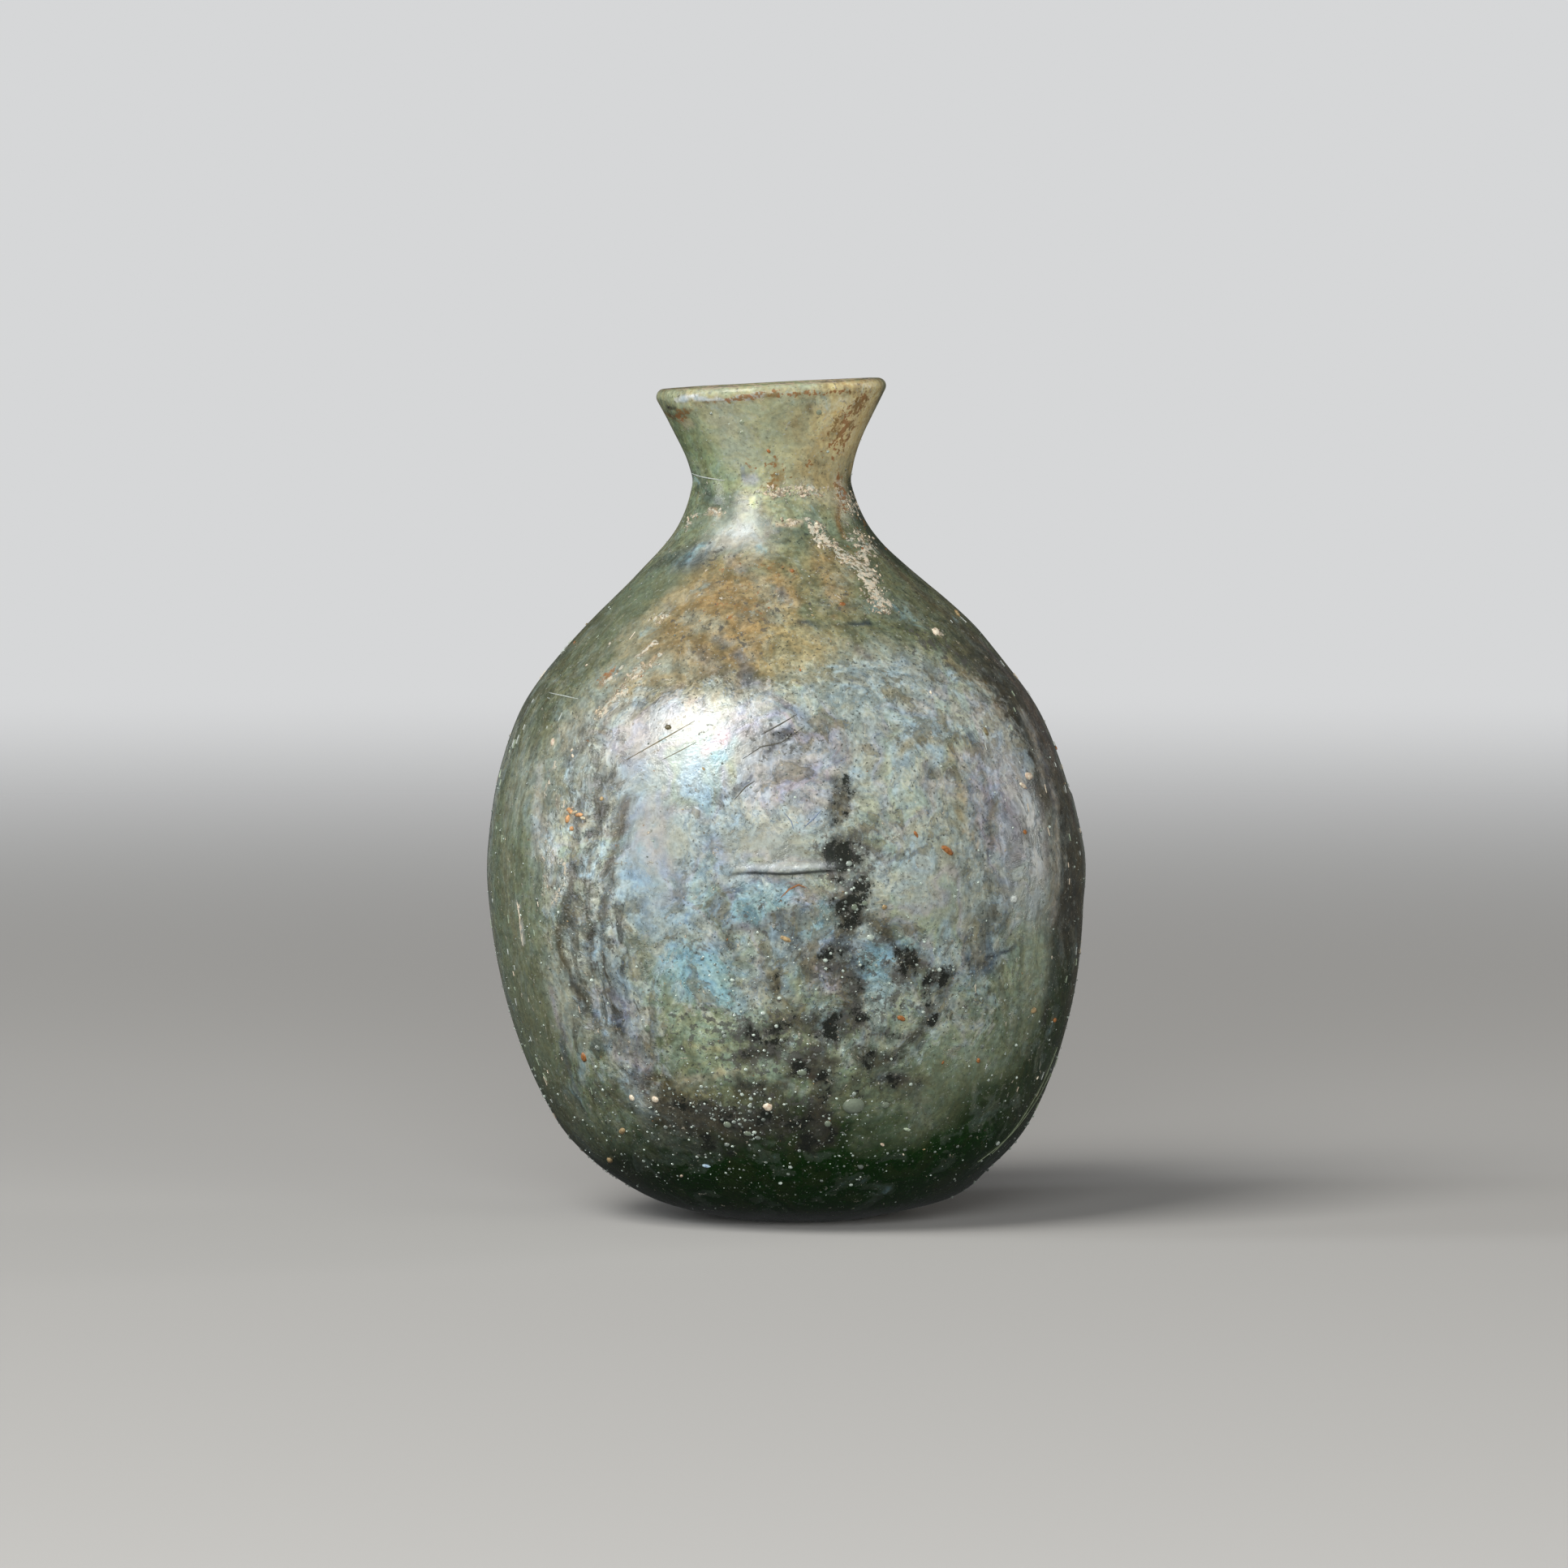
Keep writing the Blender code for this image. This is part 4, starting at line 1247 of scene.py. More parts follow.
class Nodes:
    """A material with one Principled shader, and short ways to add the nodes that feed it."""

    def __init__(self, name):
        self.material = bpy.data.materials.new(name)
        self.material.use_nodes = True
        self.tree = self.material.node_tree
        self.shader = self.tree.nodes["Principled BSDF"]

    def put(self, socket, value):
        """Links a socket to another node, or sets its own value."""
        if isinstance(value, bpy.types.NodeSocket):
            self.tree.links.new(value, socket)
        elif isinstance(value, tuple) and len(value) == 3 and socket.type == "RGBA":
            socket.default_value = (*value, 1.0)
        else:
            socket.default_value = value

    def maths(self, operation, first, second=0.0, third=0.0):
        node = self.tree.nodes.new("ShaderNodeMath")
        node.operation = operation
        self.put(node.inputs[0], first)
        self.put(node.inputs[1], second)
        self.put(node.inputs[2], third)
        return node.outputs[0]

    def times(self, first, second):
        return self.maths("MULTIPLY", first, second)

    def band(self, value, low, high):
        """0 up to low, 1 from high on, and smooth between them."""
        node = self.tree.nodes.new("ShaderNodeMapRange")
        node.interpolation_type = "SMOOTHSTEP"
        self.put(node.inputs["Value"], value)
        self.put(node.inputs["From Min"], low)
        self.put(node.inputs["From Max"], high)
        return node.outputs["Result"]

    def field(self, name, output="Fac"):
        node = self.tree.nodes.new("ShaderNodeAttribute")
        node.attribute_name = name
        return node.outputs[output]

    def places(self):
        return self.tree.nodes.new("ShaderNodeTexCoord").outputs["Object"]

    def scaled(self, places, scale):
        node = self.tree.nodes.new("ShaderNodeMapping")
        self.put(node.inputs["Vector"], places)
        node.inputs["Scale"].default_value = scale
        return node.outputs[0]

    def noise(self, places, scale, detail, roughness=0.55, output=0):
        node = self.tree.nodes.new("ShaderNodeTexNoise")
        self.put(node.inputs["Vector"], places)
        node.inputs["Scale"].default_value = scale
        node.inputs["Detail"].default_value = detail
        node.inputs["Roughness"].default_value = roughness
        return node.outputs[output]

    def warped(self, places, scale, reach):
        """The same places pushed about by noise."""
        push = self.noise(places, scale, 3.0, output=1)
        node = self.tree.nodes.new("ShaderNodeVectorMath")
        node.operation = "MULTIPLY_ADD"
        self.put(node.inputs[0], push)
        node.inputs[1].default_value = (reach, reach, reach)
        self.put(node.inputs[2], places)
        return node.outputs[0]

    def ramp(self, value, stops):
        node = self.tree.nodes.new("ShaderNodeValToRGB")
        self.put(node.inputs[0], value)
        elements = node.color_ramp.elements
        while len(elements) < len(stops):
            elements.new(0.5)
        for element, (place, colour) in zip(elements, stops):
            element.position = place
            element.color = (*colour, 1.0)
        return node.outputs[0]

    def mix(self, share, under, over, blend="MIX"):
        """One colour laid over another."""
        node = self.tree.nodes.new("ShaderNodeMix")
        node.data_type = "RGBA"
        node.blend_type = blend
        self.put(node.inputs[0], share)
        self.put(node.inputs[6], under)
        self.put(node.inputs[7], over)
        return node.outputs[2]

    def between(self, share, under, over):
        """The number that lies so far from one to the other."""
        node = self.tree.nodes.new("ShaderNodeMix")
        self.put(node.inputs[0], share)
        self.put(node.inputs[2], under)
        self.put(node.inputs[3], over)
        return node.outputs[0]

    def relief(self, height, distance, strength):
        node = self.tree.nodes.new("ShaderNodeBump")
        self.put(node.inputs["Height"], height)
        node.inputs["Distance"].default_value = distance
        node.inputs["Strength"].default_value = strength
        self.tree.links.new(node.outputs[0], self.shader.inputs["Normal"])

    def ragged(self, field, noise_value, strength, low, high):
        """A crisp patch with ragged edges, where a smooth field plus noise passes a level."""
        shifted = self.maths("SUBTRACT", noise_value, 0.5)
        pushed = self.maths("MULTIPLY_ADD", shifted, strength, field)
        return self.band(pushed, low, high)


# Colours by the value of a noise: the film in its clouds, and the stripes inside the mouth.
FILM_COLOURS = [
    (0.28, SLATE),
    (0.37, PALE_BLUE),
    (0.43, WARM_GREY),
    (0.48, SILVER),
    (0.53, LILAC),
    (0.58, CREAM_GREEN),
    (0.66, PALE_BLUE),
]
MOUTH_COLOURS = [
    (0.36, UMBER),
    (0.42, PINK_GREY),
    (0.49, PINK_TAN),
    (0.56, FLANK_GREEN),
    (0.63, OCHRE),
]

# Greys and tints that darken or lighten what they lie over: half is no change.
MOTTLE_DARK = (0.325, 0.334, 0.315)
MOTTLE_LIGHT = (0.635, 0.649, 0.620)
WARM_TINT = (0.535, 0.500, 0.455)
COOL_TINT = (0.465, 0.500, 0.540)
GRAIN_DARK = (0.27, 0.27, 0.27)
GRAIN_LIGHT = (0.73, 0.73, 0.73)
FOLD_SHADOW = (0.012, 0.012, 0.012)


class WeatheredGlass(Nodes):
    """The flask's glass. Its painted ground is overlaid with film, streaks, grain, flaking and crust.

    A noise's scale is its bumps to the metre, and the levels of a band are values of that noise.
    """

    def __init__(self):
        super().__init__("weathered glass")
        self.here = self.places()
        self.pushed = self.warped(self.here, 90, 0.008)
        self.swirls = self.noise(self.warped(self.pushed, 330, 0.003), 230, 4.0, 0.60)
        self.medium = self.noise(self.pushed, 520, 5.0, 0.66)
        self.fine = self.noise(self.here, 1800, 2.0, 0.60)
        self.grain = self.band(self.fine, 0.30, 0.70)
        self.calm = self.field("calm")
        self.flecks = self.field("flecks")
        self.drawn = self.field("drawn")
        self.loose = self.between(self.drawn, 1.0, 0.30)
        self.film = self.ragged(self.field("film"), self.medium, 2.0, 0.30, 0.62)
        self.lively = self.between(self.calm, self.maths("MULTIPLY_ADD", self.film, 0.38, 0.16), 0.10)

    def film_clouds(self, colour):
        """The iridescent film, and the blue-green patches in it."""
        clouds = self.noise(self.pushed, 110, 2.0, 0.5)
        share = self.times(self.film, self.between(self.drawn, 0.45, 0.04))
        colour = self.mix(share, colour, self.ramp(clouds, FILM_COLOURS))
        teal = self.ragged(self.field("teal"), self.swirls, 3.0, 0.35, 0.85)
        return self.mix(self.times(teal, 0.70), colour, TEAL)

    def marbling(self, colour):
        """Pale and dark curls."""
        pale = self.times(self.band(self.swirls, 0.535, 0.575), self.times(self.lively, self.loose))
        dark = self.times(self.band(self.swirls, 0.455, 0.415), self.lively)
        return self.mix(dark, self.mix(pale, colour, SILVER), UMBER)

    def streaks(self, colour):
        """Pale and dark streaks that run up and down."""
        where = self.field("streaks")
        streaky = self.noise(self.scaled(self.pushed, (1.0, 1.0, 0.10)), 560, 4.0, 0.62)
        pale = self.times(self.band(streaky, 0.53, 0.58), where)
        dark = self.times(self.band(streaky, 0.49, 0.42), where)
        colour = self.mix(self.times(pale, self.times(self.loose, 0.45)), colour, SILVER)
        return self.mix(self.times(dark, 0.80), colour, DUSK)

    def contours(self, colour):
        """Thin dark lines that follow the curls."""
        levels = self.maths("PINGPONG", self.times(self.swirls, 7.0), 0.5)
        line = self.times(self.band(levels, 0.07, 0.015), self.film)
        return self.mix(self.times(line, self.lively), colour, SLATE)

    def mottling(self, colour):
        """Patches of light and shade, of warm and cool, and a fine grain."""
        share = self.maths("MULTIPLY_ADD", self.flecks, 0.35, self.between(self.calm, 0.70, 0.25))
        mottle = self.mix(self.band(self.medium, 0.36, 0.64), MOTTLE_DARK, MOTTLE_LIGHT)
        colour = self.mix(share, colour, mottle, "OVERLAY")
        tint = self.band(self.noise(self.pushed, 640, 4.0, 0.66), 0.40, 0.60)
        share = self.between(self.calm, 0.90, 0.45)
        colour = self.mix(share, colour, self.mix(tint, WARM_TINT, COOL_TINT), "OVERLAY")
        share = self.between(self.calm, 0.50, 0.20)
        return self.mix(share, colour, self.mix(self.grain, GRAIN_DARK, GRAIN_LIGHT), "OVERLAY")

    def flaking(self, colour):
        """The dark network where the film is gone: smoky round about, and bare in the middle."""
        flaked = self.field("flaked")
        torn = self.noise(self.here, 430, 6.0, 0.74)
        smoke = self.ragged(flaked, torn, 3.0, 0.25, 1.00)
        colour = self.mix(self.times(smoke, 0.80), colour, SMOKE)
        bare = self.ragged(flaked, torn, 4.6, 0.72, 1.12)
        bare = self.band(self.maths("ADD", bare, self.maths("SUBTRACT", self.fine, 0.5)), 0.25, 0.95)
        return self.mix(self.times(bare, 0.70), colour, DARK_GLASS), bare

    def specks(self, colour):
        """Chips in the film, and dark and pale specks."""
        chips = self.ragged(self.flecks, self.noise(self.here, 1000, 3.0, 0.60), 3.2, 0.98, 1.20)
        colour = self.mix(self.times(chips, 0.78), colour, GRAPHITE)
        grit = self.noise(self.here, 2600, 1.0, 0.5)
        dark = self.times(self.band(grit, 0.66, 0.71), self.between(self.calm, 0.70, 0.15))
        pale = self.times(self.band(grit, 0.315, 0.27), 0.55)
        return self.mix(pale, self.mix(dark, colour, DARK_GLASS), SILVER)

    def deposits(self, colour):
        """Rust stains, and the lime crust over them."""
        rust = self.ragged(self.field("rust"), self.noise(self.here, 1300, 4.0, 0.68), 4.6, 0.92, 1.10)
        rust_colour = self.mix(self.band(self.medium, 0.42, 0.58), STAIN_BROWN, RUST)
        colour = self.mix(self.times(rust, 0.85), colour, rust_colour)
        crust = self.ragged(self.field("crust"), self.noise(self.pushed, 1300, 4.0, 0.70), 4.2, 0.55, 0.85)
        return self.mix(crust, colour, self.mix(self.grain, WARM_GREY, LIME_CRUST)), rust, crust

    def fold(self, colour):
        """The fold's shadow, and the light on its lip."""
        colour = self.mix(self.field("shade"), colour, FOLD_SHADOW)
        return self.mix(self.field("pale"), colour, LIME_WHITE_AND_HIGHLIGHT)

    def mouth(self, colour):
        """Level stripes inside the mouth."""
        level = self.noise(self.scaled(self.here, (0.14, 0.14, 1.0)), 1900, 3.0, 0.7)
        return self.mix(self.times(self.field("inside"), 0.80), colour, self.ramp(level, MOUTH_COLOURS))

    def shine(self, bare, covered):
        """Clear and smooth where bare, a dull metallic film elsewhere, and rough under deposits."""
        see = self.between(bare, self.between(self.film, self.field("clear"), 0.10), 0.70)
        self.put(self.shader.inputs["Transmission Weight"], self.between(covered, see, 0.0))
        rough = self.between(self.film, 0.22, 0.30)
        rough = self.maths("MULTIPLY_ADD", self.maths("SUBTRACT", self.medium, 0.5), 0.4, rough)
        rough = self.between(bare, rough, 0.10)
        self.put(self.shader.inputs["Roughness"], self.between(covered, rough, 0.85))
        metal = self.times(self.film, self.between(bare, 0.20, 0.0))
        self.put(self.shader.inputs["Metallic"], self.between(covered, metal, 0.0))
        self.put(self.shader.inputs["IOR"], 1.5)
        self.put(self.shader.inputs["Specular IOR Level"], 0.4)

    def roughen(self, crust):
        """The film's fine relief, which is faint on bare glass and where the film is calm."""
        flakes = self.noise(self.here, 300, 5.0, 0.62)
        height = self.maths("MULTIPLY_ADD", self.swirls, 0.8, self.times(self.medium, 0.8))
        height = self.maths("MULTIPLY_ADD", flakes, 0.5, height)
        height = self.maths("MULTIPLY_ADD", crust, 1.6, height)
        height = self.maths("MULTIPLY_ADD", self.fine, 0.4, height)
        height = self.times(height, self.between(self.film, self.between(self.calm, 0.70, 0.16), 1.0))
        self.relief(height, 0.00012, 0.8)

    def finished(self):
        """The material, with all its layers in order."""
        colour = self.film_clouds(self.field("ground", "Color"))
        colour = self.contours(self.streaks(self.marbling(colour)))
        colour, bare = self.flaking(self.mottling(colour))
        colour, rust, crust = self.deposits(self.specks(colour))
        self.put(self.shader.inputs["Base Color"], self.mouth(self.fold(colour)))
        self.shine(bare, self.maths("MAXIMUM", crust, self.times(rust, 0.7)))
        self.roughen(crust)
        return self.material


# Small things on the wall

# Grit and specks: colour, column, row, half width, half height, turn in degrees.
INCLUSIONS_AND_VOID_SHADE = [
    (ORANGE, 702, 999, 5, 3, 25),
    (SAND, 707, 1001, 4, 2, -20),
    (ORANGE, 699, 1009, 2.5, 5, 12),
    (ORANGE, 713, 1004, 5, 2.5, -10),
    (SAND, 718, 1008, 3, 2, 0),
    (ORANGE, 704, 1021, 2.5, 3, 0),
    # The two smoke-dark bits at the lip's left end are painted shade in small voids.
    (SMOKE, 823, 495, 4, 1.5, -8),
    (SMOKE, 832, 498, 3, 1.5, -8),
    (LIME_CRUST, 1268, 956, 4, 5, 0),
    (LIME_CRUST, 1261, 968, 4, 3, 30),
    (SILVER, 1250, 1108, 5, 5, 0),
    (LIME_CRUST, 946, 1364, 6, 5, 0),
    (LIME_CRUST, 778, 1353, 3, 4, 0),
    (LIME_CRUST, 807, 1355, 4, 4, 0),
    (RUST, 1168, 1048, 8, 4, 35),
    (RUST, 1129, 1028, 4, 2, 60),
    (OCHRE, 968, 1157, 7, 3, 25),
    (RUST, 719, 1303, 3, 6, 8),
    (RUST, 1112, 1255, 6, 3, 25),
    (OCHRE, 1275, 1245, 3, 4, -10),
    (RUST, 1300, 1257, 2, 3, 0),
    (RUST, 1206, 1307, 2, 3, 0),
    (OCHRE, 766, 1394, 5, 3, -35),
    (OCHRE, 751, 1430, 4, 3, -30),
    (LIME_CRUST, 681, 914, 2, 5, -20),
    (UMBER, 1215, 901, 2, 6, -10),
    (RUST, 1263, 1025, 2, 3, 0),
    (OCHRE, 741, 984, 2, 3, 20),
    (UMBER, 823, 896, 4, 3, 0),
    (RUST, 976, 703, 3, 2, 20),
    (RUST, 1038, 744, 4, 2, 0),
    (RUST, 947, 556, 2, 3, -35),
    (OCHRE, 1090, 1118, 3, 3, 0),
    (CREAM_GREEN, 1118, 1392, 5, 2, 20),
    (PALE_BLUE, 870, 1437, 5, 2, 10),
    (OCHRE, 1182, 755, 4, 2, -35),
    (LIME_CRUST, 1153, 778, 5, 4, -20),
]

# Large bubbles: column, row, half width, half height, turn in degrees.
LARGE_BUBBLES = [
    (1052, 1363, 14, 10, 0),
    (988, 1322, 6, 4, 0),
    (1091, 1362, 5, 4, 0),
    (914, 519, 3, 3, 0),
    (914, 532, 2, 2, 0),
    (1066, 1113, 4, 3, 20),
    (1053, 1118, 4, 4, 0),
    (896, 1386, 5, 4, 20),
    (921, 1397, 5, 3, 10),
    (1020, 1385, 4, 4, 0),
    (797, 1267, 4, 5, 0),
    (1242, 1215, 4, 4, 0),
    (1009, 511, 4, 3, 20),
]


# The rings of a small dome: share of its half sizes, and share of its rise.
DOME_RINGS = [
    (1.0, -0.35),
    (0.86, 0.45),
    (0.5, 0.88),
]


class Bits:
    """Many small raised bits that become one mesh, each with its own colour."""

    def __init__(self):
        self.points = []
        self.faces = []
        self.colours = []

    def seat(self, azimuth, height):
        """The wall's point there, on the turned form, and the ways round, up and out."""
        radius = radius_at(height)
        facing = facing_out_at(height)
        rising = np.interp(height, OUTSIDE[:, 1], -INWARDS[:, 1])
        out = np.array([facing * math.cos(azimuth), facing * math.sin(azimuth), rising])
        round_it = np.array([-math.sin(azimuth), math.cos(azimuth), 0.0])
        middle = np.array([radius * math.cos(azimuth), radius * math.sin(azimuth), height])
        return middle, round_it, np.cross(round_it, out), out

    def dome(self, azimuth, height, half_wide, half_high, rise, turn, colour, sides, lumps=(0.0,)):
        """A low dome with its rim sunk just under the skin. The lumps make its sides uneven."""
        middle, round_it, up_it, out = self.seat(azimuth, height)
        first = len(self.points)
        for share, lift in DOME_RINGS:
            for side in range(sides):
                angle = 2 * math.pi * side / sides
                uneven = 1.0 + lumps[side % len(lumps)]
                along = half_wide * share * math.cos(angle) * uneven
                over = half_high * share * math.sin(angle) * uneven
                u = along * math.cos(turn) - over * math.sin(turn)
                v = along * math.sin(turn) + over * math.cos(turn)
                self.points.append(middle + round_it * u + up_it * v + out * (rise * lift))
        self.points.append(middle + out * rise)
        top = len(self.points) - 1
        for low in range(first, top - sides, sides):
            for side in range(sides):
                after = (side + 1) % sides
                self.faces.append((low + side, low + after, low + sides + after, low + sides + side))
        low = top - sides
        self.faces += [(low + side, low + (side + 1) % sides, top) for side in range(sides)]
        self.colours += [colour] * (top + 1 - first)

    def piece(self, name, material):
        """All the bits as one mesh, which rides on the flask."""
        mesh = bpy.data.meshes.new(name)
        mesh.from_pydata(inside_box(hand_moved(np.array(self.points))).tolist(), [], self.faces)
        write_field(mesh, "tone", np.array(self.colours))
        mesh.shade_smooth()
        mesh.materials.append(material)
        made = placed(name, mesh)
        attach(made, "root")


# Where the seed bubbles crowd: column, row, spread across, spread up and down, count.
BUBBLE_CLUSTERS = [
    (930, 1378, 95, 30, 170),
    (870, 1370, 40, 18, 50),
    (1000, 1320, 90, 26, 90),
    (1045, 1090, 16, 50, 80),
    (1075, 1180, 55, 45, 100),
    (1150, 1195, 26, 26, 40),
    (930, 1240, 75, 40, 90),
    (960, 1150, 50, 35, 40),
    (1060, 1410, 100, 36, 80),
    (800, 1400, 70, 30, 50),
    (960, 1450, 150, 18, 80),
    (700, 1250, 40, 90, 60),
    (1220, 1250, 55, 70, 60),
]
LOOSE_BUBBLES = 1200
BUBBLE_SEED = 7
BUBBLE_SIZE = 0.00010
# The small bubbles' pale tone is a painted glint.
BUBBLE_GLINT_TONE = (0.58, 0.68, 0.60)
LARGE_BUBBLE_TONE = (0.20, 0.24, 0.18)
NECK_BUBBLE_TONE = (0.30, 0.34, 0.24)


def bubble_places(chance):
    """The seed bubbles: thick where the photograph shows them, and scattered over the rest of the body."""
    places = []
    for column, row, spread, spread_high, count in BUBBLE_CLUSTERS:
        for _ in range(count):
            places.append(spot(column + chance.normal(0.0, spread), row + chance.normal(0.0, spread_high)))
    while len(places) < LOOSE_BUBBLES + sum(cluster[-1] for cluster in BUBBLE_CLUSTERS):
        azimuth = chance.uniform(-math.pi, math.pi)
        height = chance.uniform(0.002, 0.097)
        off_foot = ease(height, 0.002, 0.008)
        low_front = off_foot * (1 - ease(height, 0.024, 0.040)) * ease(math.sin(azimuth), -0.5, 0.3)
        body = off_foot * (1 - ease(height, 0.056, 0.066))
        wanted = (0.06 + 0.30 * body + 0.64 * low_front) * radius_at(height) / BELLY_RADIUS
        if chance.random() < wanted:
            places.append((azimuth, height))
    return places


def seed_bubbles():
    """Many tiny bubbles just under the skin, which stand out a little, and a few large ones.

    The tiny ones are pale, a painted glint in place of their highlights.
    """
    chance = np.random.default_rng(BUBBLE_SEED)
    bits = Bits()
    for azimuth, height in bubble_places(chance):
        size = BUBBLE_SIZE * math.exp(chance.normal(0.0, 0.42))
        stretch = chance.uniform(0.9, 1.3)
        shade = 0.25 + 0.85 * chance.random() ** 2
        tone = tuple(shade * channel for channel in BUBBLE_GLINT_TONE)
        turn = chance.uniform(-0.5, 0.5)
        bits.dome(azimuth, height, size * stretch, size, size * 0.6, turn, tone, 7)
    for column, row, half_wide, half_high, turn in LARGE_BUBBLES:
        azimuth, height = spot(column, row)
        wide = half_wide * PIXEL
        high = half_high * PIXEL / facing_out_at(height)
        tone = NECK_BUBBLE_TONE if height > WAIST_HEIGHT else LARGE_BUBBLE_TONE
        bits.dome(azimuth, height, wide, high, high * 0.40, math.radians(turn), tone, 16)
    return bits


# Small grit all round, beyond what the photograph shows.
STRAY_GRIT = 90
GRIT_SEED = 11
GRIT_SIZE = 0.00012
GRIT_COLOURS = (RUST, OCHRE, LIME_CRUST, UMBER)


def inclusions_and_void_shade():
    """Bits of rust, sand and lime that sit in the skin, and two dark bits of painted shade in voids at the
    lip.
    """
    chance = np.random.default_rng(GRIT_SEED)
    bits = Bits()
    for colour, column, row, half_wide, half_high, turn in INCLUSIONS_AND_VOID_SHADE:
        azimuth, height = spot(column, row)
        wide = half_wide * PIXEL / max(0.4, -math.sin(azimuth))
        high = half_high * PIXEL / facing_out_at(height)
        lumps = chance.uniform(-0.12, 0.12, 12)
        bits.dome(azimuth, height, wide, high, min(wide, high) * 0.5, math.radians(turn), colour, 12, lumps)
    for _ in range(STRAY_GRIT):
        azimuth = chance.uniform(-math.pi, math.pi)
        height = chance.uniform(0.006, 0.085)
        size = GRIT_SIZE * math.exp(chance.normal(0.0, 0.35))
        colour = GRIT_COLOURS[chance.integers(4)]
        lumps = chance.uniform(-0.15, 0.15, 8)
        turn = chance.uniform(-1.5, 1.5)
        bits.dome(azimuth, height, size * 1.7, size * 0.9, size * 0.5, turn, colour, 8, lumps)
    return bits


# Lime flakes on each hundred square pixels of full crust, their size and their rise.
FLAKE_COUNT = 36
FLAKE_SIZE = 0.00010
FLAKE_RISE = 0.00008
FLAKE_SEED = 5


def crust_flakes():
    """Lime flakes that still cling to the shoulder and neck, thickest where the crust is."""
    chance = np.random.default_rng(FLAKE_SEED)
    bits = Bits()
    for column, row, half_wide, half_high, turn, strength in CRUST_PATCHES:
        lean = math.radians(turn)
        for _ in range(int(FLAKE_COUNT * strength * half_wide * half_high / 100)):
            along = chance.normal(0.0, 0.45) * half_wide
            over = chance.normal(0.0, 0.45) * half_high
            u = along * math.cos(lean) - over * math.sin(lean)
            v = along * math.sin(lean) + over * math.cos(lean)
            azimuth, height = spot(column + u, row - v)
            size = FLAKE_SIZE * math.exp(chance.normal(0.0, 0.50))
            shade = chance.uniform(0.35, 1.05)
            tint = chance.uniform(0.0, 0.6)
            colour = tuple(shade * ((1 - tint) * a + tint * b) for a, b in zip(LIME_CRUST, OCHRE))
            lumps = chance.uniform(-0.35, 0.25, 9)
            turned = chance.uniform(-1.5, 1.5)
            bits.dome(azimuth, height, size * 1.5, size * 0.8, FLAKE_RISE, turned, colour, 7, lumps)
    return bits


# Scratches: colour, half width in metres, and the places along them.
SCRATCHES = [
    (SILVER, 0.00008, [(852, 583), (866, 588), (893, 592)]),
    (SILVER, 0.00007, [(675, 853), (694, 857), (712, 861)]),
    (UMBER, 0.00008, [(772, 936), (800, 920), (830, 903), (856, 888)]),
    (UMBER, 0.00006, [(816, 936), (838, 925), (858, 914)]),
    (GREY_GREEN, 0.00007, [(1303, 1290), (1285, 1335), (1255, 1385), (1222, 1422)]),
    (GREY_GREEN, 0.00006, [(1296, 1322), (1278, 1355), (1246, 1398), (1205, 1432)]),
    (LIME_CRUST, 0.00016, [(637, 1112), (640, 1130), (643, 1160)]),
    (RUST, 0.00009, [(962, 1106), (972, 1096), (984, 1090), (994, 1094)]),
    (DUSK, 0.00009, [(938, 905), (960, 893), (982, 880)]),
    (DUSK, 0.00008, [(915, 935), (938, 920), (962, 915), (990, 896)]),
    (DUSK, 0.00009, [(905, 985), (918, 970), (930, 962)]),
    (SLATE, 0.00008, [(965, 1000), (975, 1012), (978, 1022)]),
    (SLATE, 0.00010, [(990, 1020), (1003, 1008), (1012, 998)]),
]


# Short pale flecks of worn film at both sides.
SHORT_FLECKS = 150
SCRATCH_SEED = 3
SHORT_FLECK_WIDTH = 0.00006
SHORT_FLECK_COLOURS = (SILVER, LIME_CRUST, CREAM_GREEN)

# How a ribbon lies: its middle is raised and its edges are sunk, in metres.
RIBBON_RISE = 0.00005
RIBBON_SINK = 0.00003


def scratches():
    """Hair-thin ribbons that lie on the skin along a few photographed lines, and many short flecks."""
    chance = np.random.default_rng(SCRATCH_SEED)
    bits = Bits()
    lines = [(colour, width, [spot(*place) for place in places]) for colour, width, places in SCRATCHES]
    for _ in range(SHORT_FLECKS):
        azimuth = chance.choice([-math.pi, 0.0]) + chance.normal(0.0, 0.45)
        height = chance.uniform(0.012, 0.072)
        length = chance.uniform(0.0003, 0.0011)
        slant = chance.normal(0.0, 0.15) * length / radius_at(height)
        colour = SHORT_FLECK_COLOURS[chance.integers(3)]
        lines.append((colour, SHORT_FLECK_WIDTH, [(azimuth, height), (azimuth + slant, height + length)]))
    for colour, width, places in lines:
        ribbon(bits, colour, width, places)
    return bits


def ribbon(bits, colour, width, places):
    """A thin strip through places given as azimuth and height, pointed at both ends."""
    steps = max(2, 4 * (len(places) - 1))
    shares = np.linspace(0, len(places) - 1, steps + 1)
    route = [np.interp(shares, range(len(places)), values) for values in zip(*places)]
    seats = [bits.seat(azimuth, height) for azimuth, height in zip(*route)]
    first = len(bits.points)
    for i, (middle, _, _, out) in enumerate(seats):
        before = seats[max(i - 1, 0)][0]
        after = seats[min(i + 1, len(seats) - 1)][0]
        along = (after - before) / np.linalg.norm(after - before)
        side = np.cross(out, along)
        half = width * (0.25 + 0.75 * math.sin(math.pi * i / (len(seats) - 1)))
        for way, lift in ((-1, -RIBBON_SINK), (0, RIBBON_RISE), (1, -RIBBON_SINK)):
            bits.points.append(middle + side * (half * way) + out * lift)
            bits.colours.append(colour)
    for i in range(len(seats) - 1):
        low = first + 3 * i
        bits.faces.append((low, low + 1, low + 4, low + 3))
        bits.faces.append((low + 1, low + 2, low + 5, low + 4))


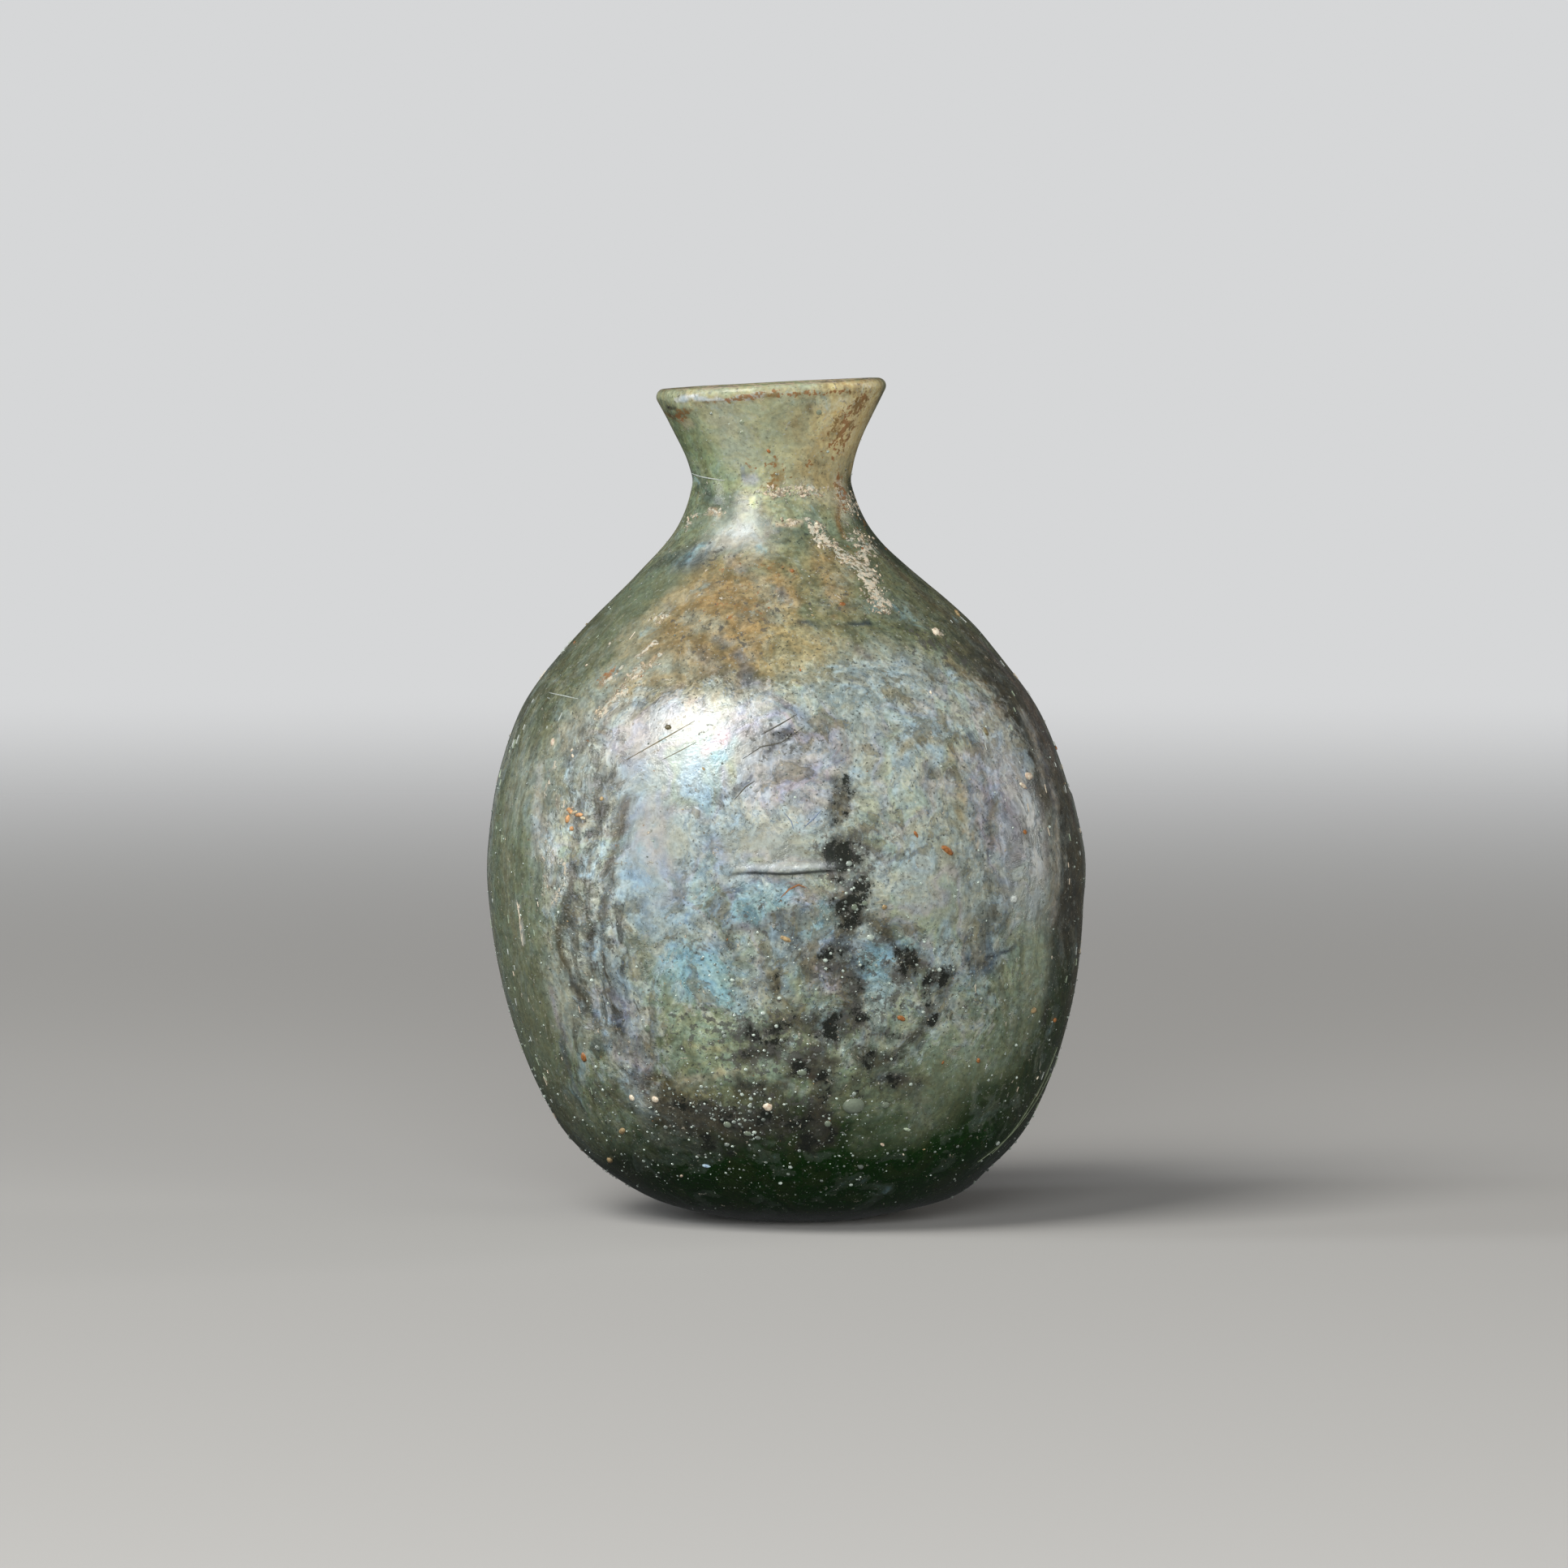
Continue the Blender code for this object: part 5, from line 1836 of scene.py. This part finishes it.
def bit_material(name, roughness, see, grain):
    """Each bit's own colour, clouded a little."""
    n = Nodes(name)
    places = n.places()
    cloud = n.noise(places, 2200, 3.0, 0.6)
    shade = n.mix(n.band(cloud, 0.35, 0.65), (0.5 - grain,) * 3, (0.5 + grain,) * 3)
    n.put(n.shader.inputs["Base Color"], n.mix(0.9, n.field("tone", "Color"), shade, "OVERLAY"))
    n.put(n.shader.inputs["Roughness"], n.between(cloud, roughness * 0.7, roughness * 1.3))
    n.put(n.shader.inputs["Transmission Weight"], see)
    n.relief(cloud, 0.00005, 0.5)
    return n.material


# The studio

# The lamps: name, azimuth and elevation in degrees, distance, width and height in metres, power,
# colour, and whether the glass mirrors them.
LIGHTS = [
    ("key", -42, 45, 2.2, 1.1, 1.1, 35.5, (1.0, 0.97, 0.93), True),
    ("left_strip", -82, 14, 0.9, 0.18, 0.7, 2.8, (0.97, 0.98, 1.0), True),
    ("right_strip", 112, 18, 0.9, 0.2, 0.6, 0.9, (1.0, 0.93, 0.90), True),
    ("front_fill", -4, 12, 1.3, 0.6, 0.6, 13.2, (1.0, 1.0, 1.0), False),
    ("right_fill", 45, 5, 1.3, 0.5, 0.5, 5.0, (1.0, 0.96, 0.90), False),
]
LIT_HEIGHT = 0.05

# The floor fades out between two radii. Only the camera sees it and the pale backdrop: the glass
# mirrors a dark room.
FLOOR_RADII = (0.0, 0.1, 0.3, 0.6, 1.0, 1.5, 2.2)
FLOOR_SIDES = 64
FLOOR_WHOLE = 0.25
FLOOR_END = 1.5
FLOOR_COLOUR = (0.50, 0.50, 0.49)
ROOM_COLOUR = (0.86, 0.88, 0.90)
ROOM_STRENGTH = 0.05
BACKDROP_COLOUR = (0.96, 0.97, 0.98)
BACKDROP_STRENGTH = 0.70


def area_light(name, azimuth, elevation, distance, wide, high, power, colour, mirrored):
    """A soft box that faces the flask's middle. Azimuth is in degrees, to the right of the camera."""
    turn = math.radians(azimuth)
    lift = math.radians(elevation)
    direction = Vector((math.sin(turn) * math.cos(lift), -math.cos(turn) * math.cos(lift), math.sin(lift)))
    data = bpy.data.lights.new(name, "AREA")
    data.shape = "RECTANGLE"
    data.size = wide
    data.size_y = high
    data.energy = power
    data.color = colour
    light = placed(name, data)
    light.visible_glossy = mirrored
    light.location = Vector((0.0, 0.0, LIT_HEIGHT)) + direction * distance
    light.rotation_euler = (-direction).to_track_quat("-Z", "Y").to_euler()


def floor_material():
    n = Nodes("pale paper")
    n.put(n.shader.inputs["Base Color"], FLOOR_COLOUR)
    n.put(n.shader.inputs["Roughness"], 0.9)
    n.put(n.shader.inputs["Specular IOR Level"], 0.0)
    length = n.tree.nodes.new("ShaderNodeVectorMath")
    length.operation = "LENGTH"
    n.put(length.inputs[0], n.places())
    n.put(n.shader.inputs["Alpha"], n.band(length.outputs["Value"], FLOOR_END, FLOOR_WHOLE))
    return n.material


def lay_floor():
    mesh = bpy.data.meshes.new("floor")
    rows = np.array([(radius, 0.0) for radius in FLOOR_RADII])
    angles = 2 * math.pi * np.arange(FLOOR_SIDES) / FLOOR_SIDES
    mesh.from_pydata(ring(rows, angles).tolist(), [], strip_faces(0, len(rows), FLOOR_SIDES))
    mesh.materials.append(floor_material())
    floor = placed("floor", mesh)
    floor.visible_diffuse = False
    floor.visible_glossy = False
    floor.visible_transmission = False


def surround():
    """A dark room for the glass to mirror, behind a pale backdrop that only the camera sees."""
    world = bpy.data.worlds.new("studio")
    world.use_nodes = True
    tree = world.node_tree
    room = tree.nodes["Background"]
    backdrop = tree.nodes.new("ShaderNodeBackground")
    either = tree.nodes.new("ShaderNodeMixShader")
    seen = tree.nodes.new("ShaderNodeLightPath")
    shown = ((room, ROOM_COLOUR, ROOM_STRENGTH), (backdrop, BACKDROP_COLOUR, BACKDROP_STRENGTH))
    for i, (background, colour, strength) in enumerate(shown):
        background.inputs["Color"].default_value = (*colour, 1.0)
        background.inputs["Strength"].default_value = strength
        tree.links.new(background.outputs[0], either.inputs[i + 1])
    tree.links.new(seen.outputs["Is Camera Ray"], either.inputs[0])
    tree.links.new(either.outputs[0], tree.nodes["World Output"].inputs[0])
    bpy.context.scene.world = world
    bpy.context.scene.view_settings.view_transform = "Standard"


def camera():
    """The photograph's camera, with its frame at the flask's distance."""
    data = bpy.data.cameras.new("camera")
    data.sensor_width = SENSOR_MM
    data.lens = SENSOR_MM * CAMERA_DISTANCE / (FRAME_PIXELS * PIXEL)
    holder = placed("camera", data)
    holder.location = Vector(EYE)
    holder.rotation_euler = Vector(LOOKING).to_track_quat("-Z", "Y").to_euler()
    bpy.context.scene.camera = holder


def main():
    glass = build_wall()
    glass.data.materials.append(WeatheredGlass().finished())
    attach(glass, "root")
    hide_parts("flask")
    seed_bubbles().piece("seed_bubbles", bit_material("bubble glass", 0.08, 0.25, 0.05))
    inclusions_and_void_shade().piece("inclusions_and_void_shade", bit_material("stained grit and void shade", 0.40, 0.0, 0.20))
    crust_flakes().piece("crust_flakes", bit_material("lime crust", 0.85, 0.0, 0.22))
    scratches().piece("scratches", bit_material("scratched glass", 0.55, 0.0, 0.12))
    lay_floor()
    for light in LIGHTS:
        area_light(*light)
    surround()
    camera()


main()
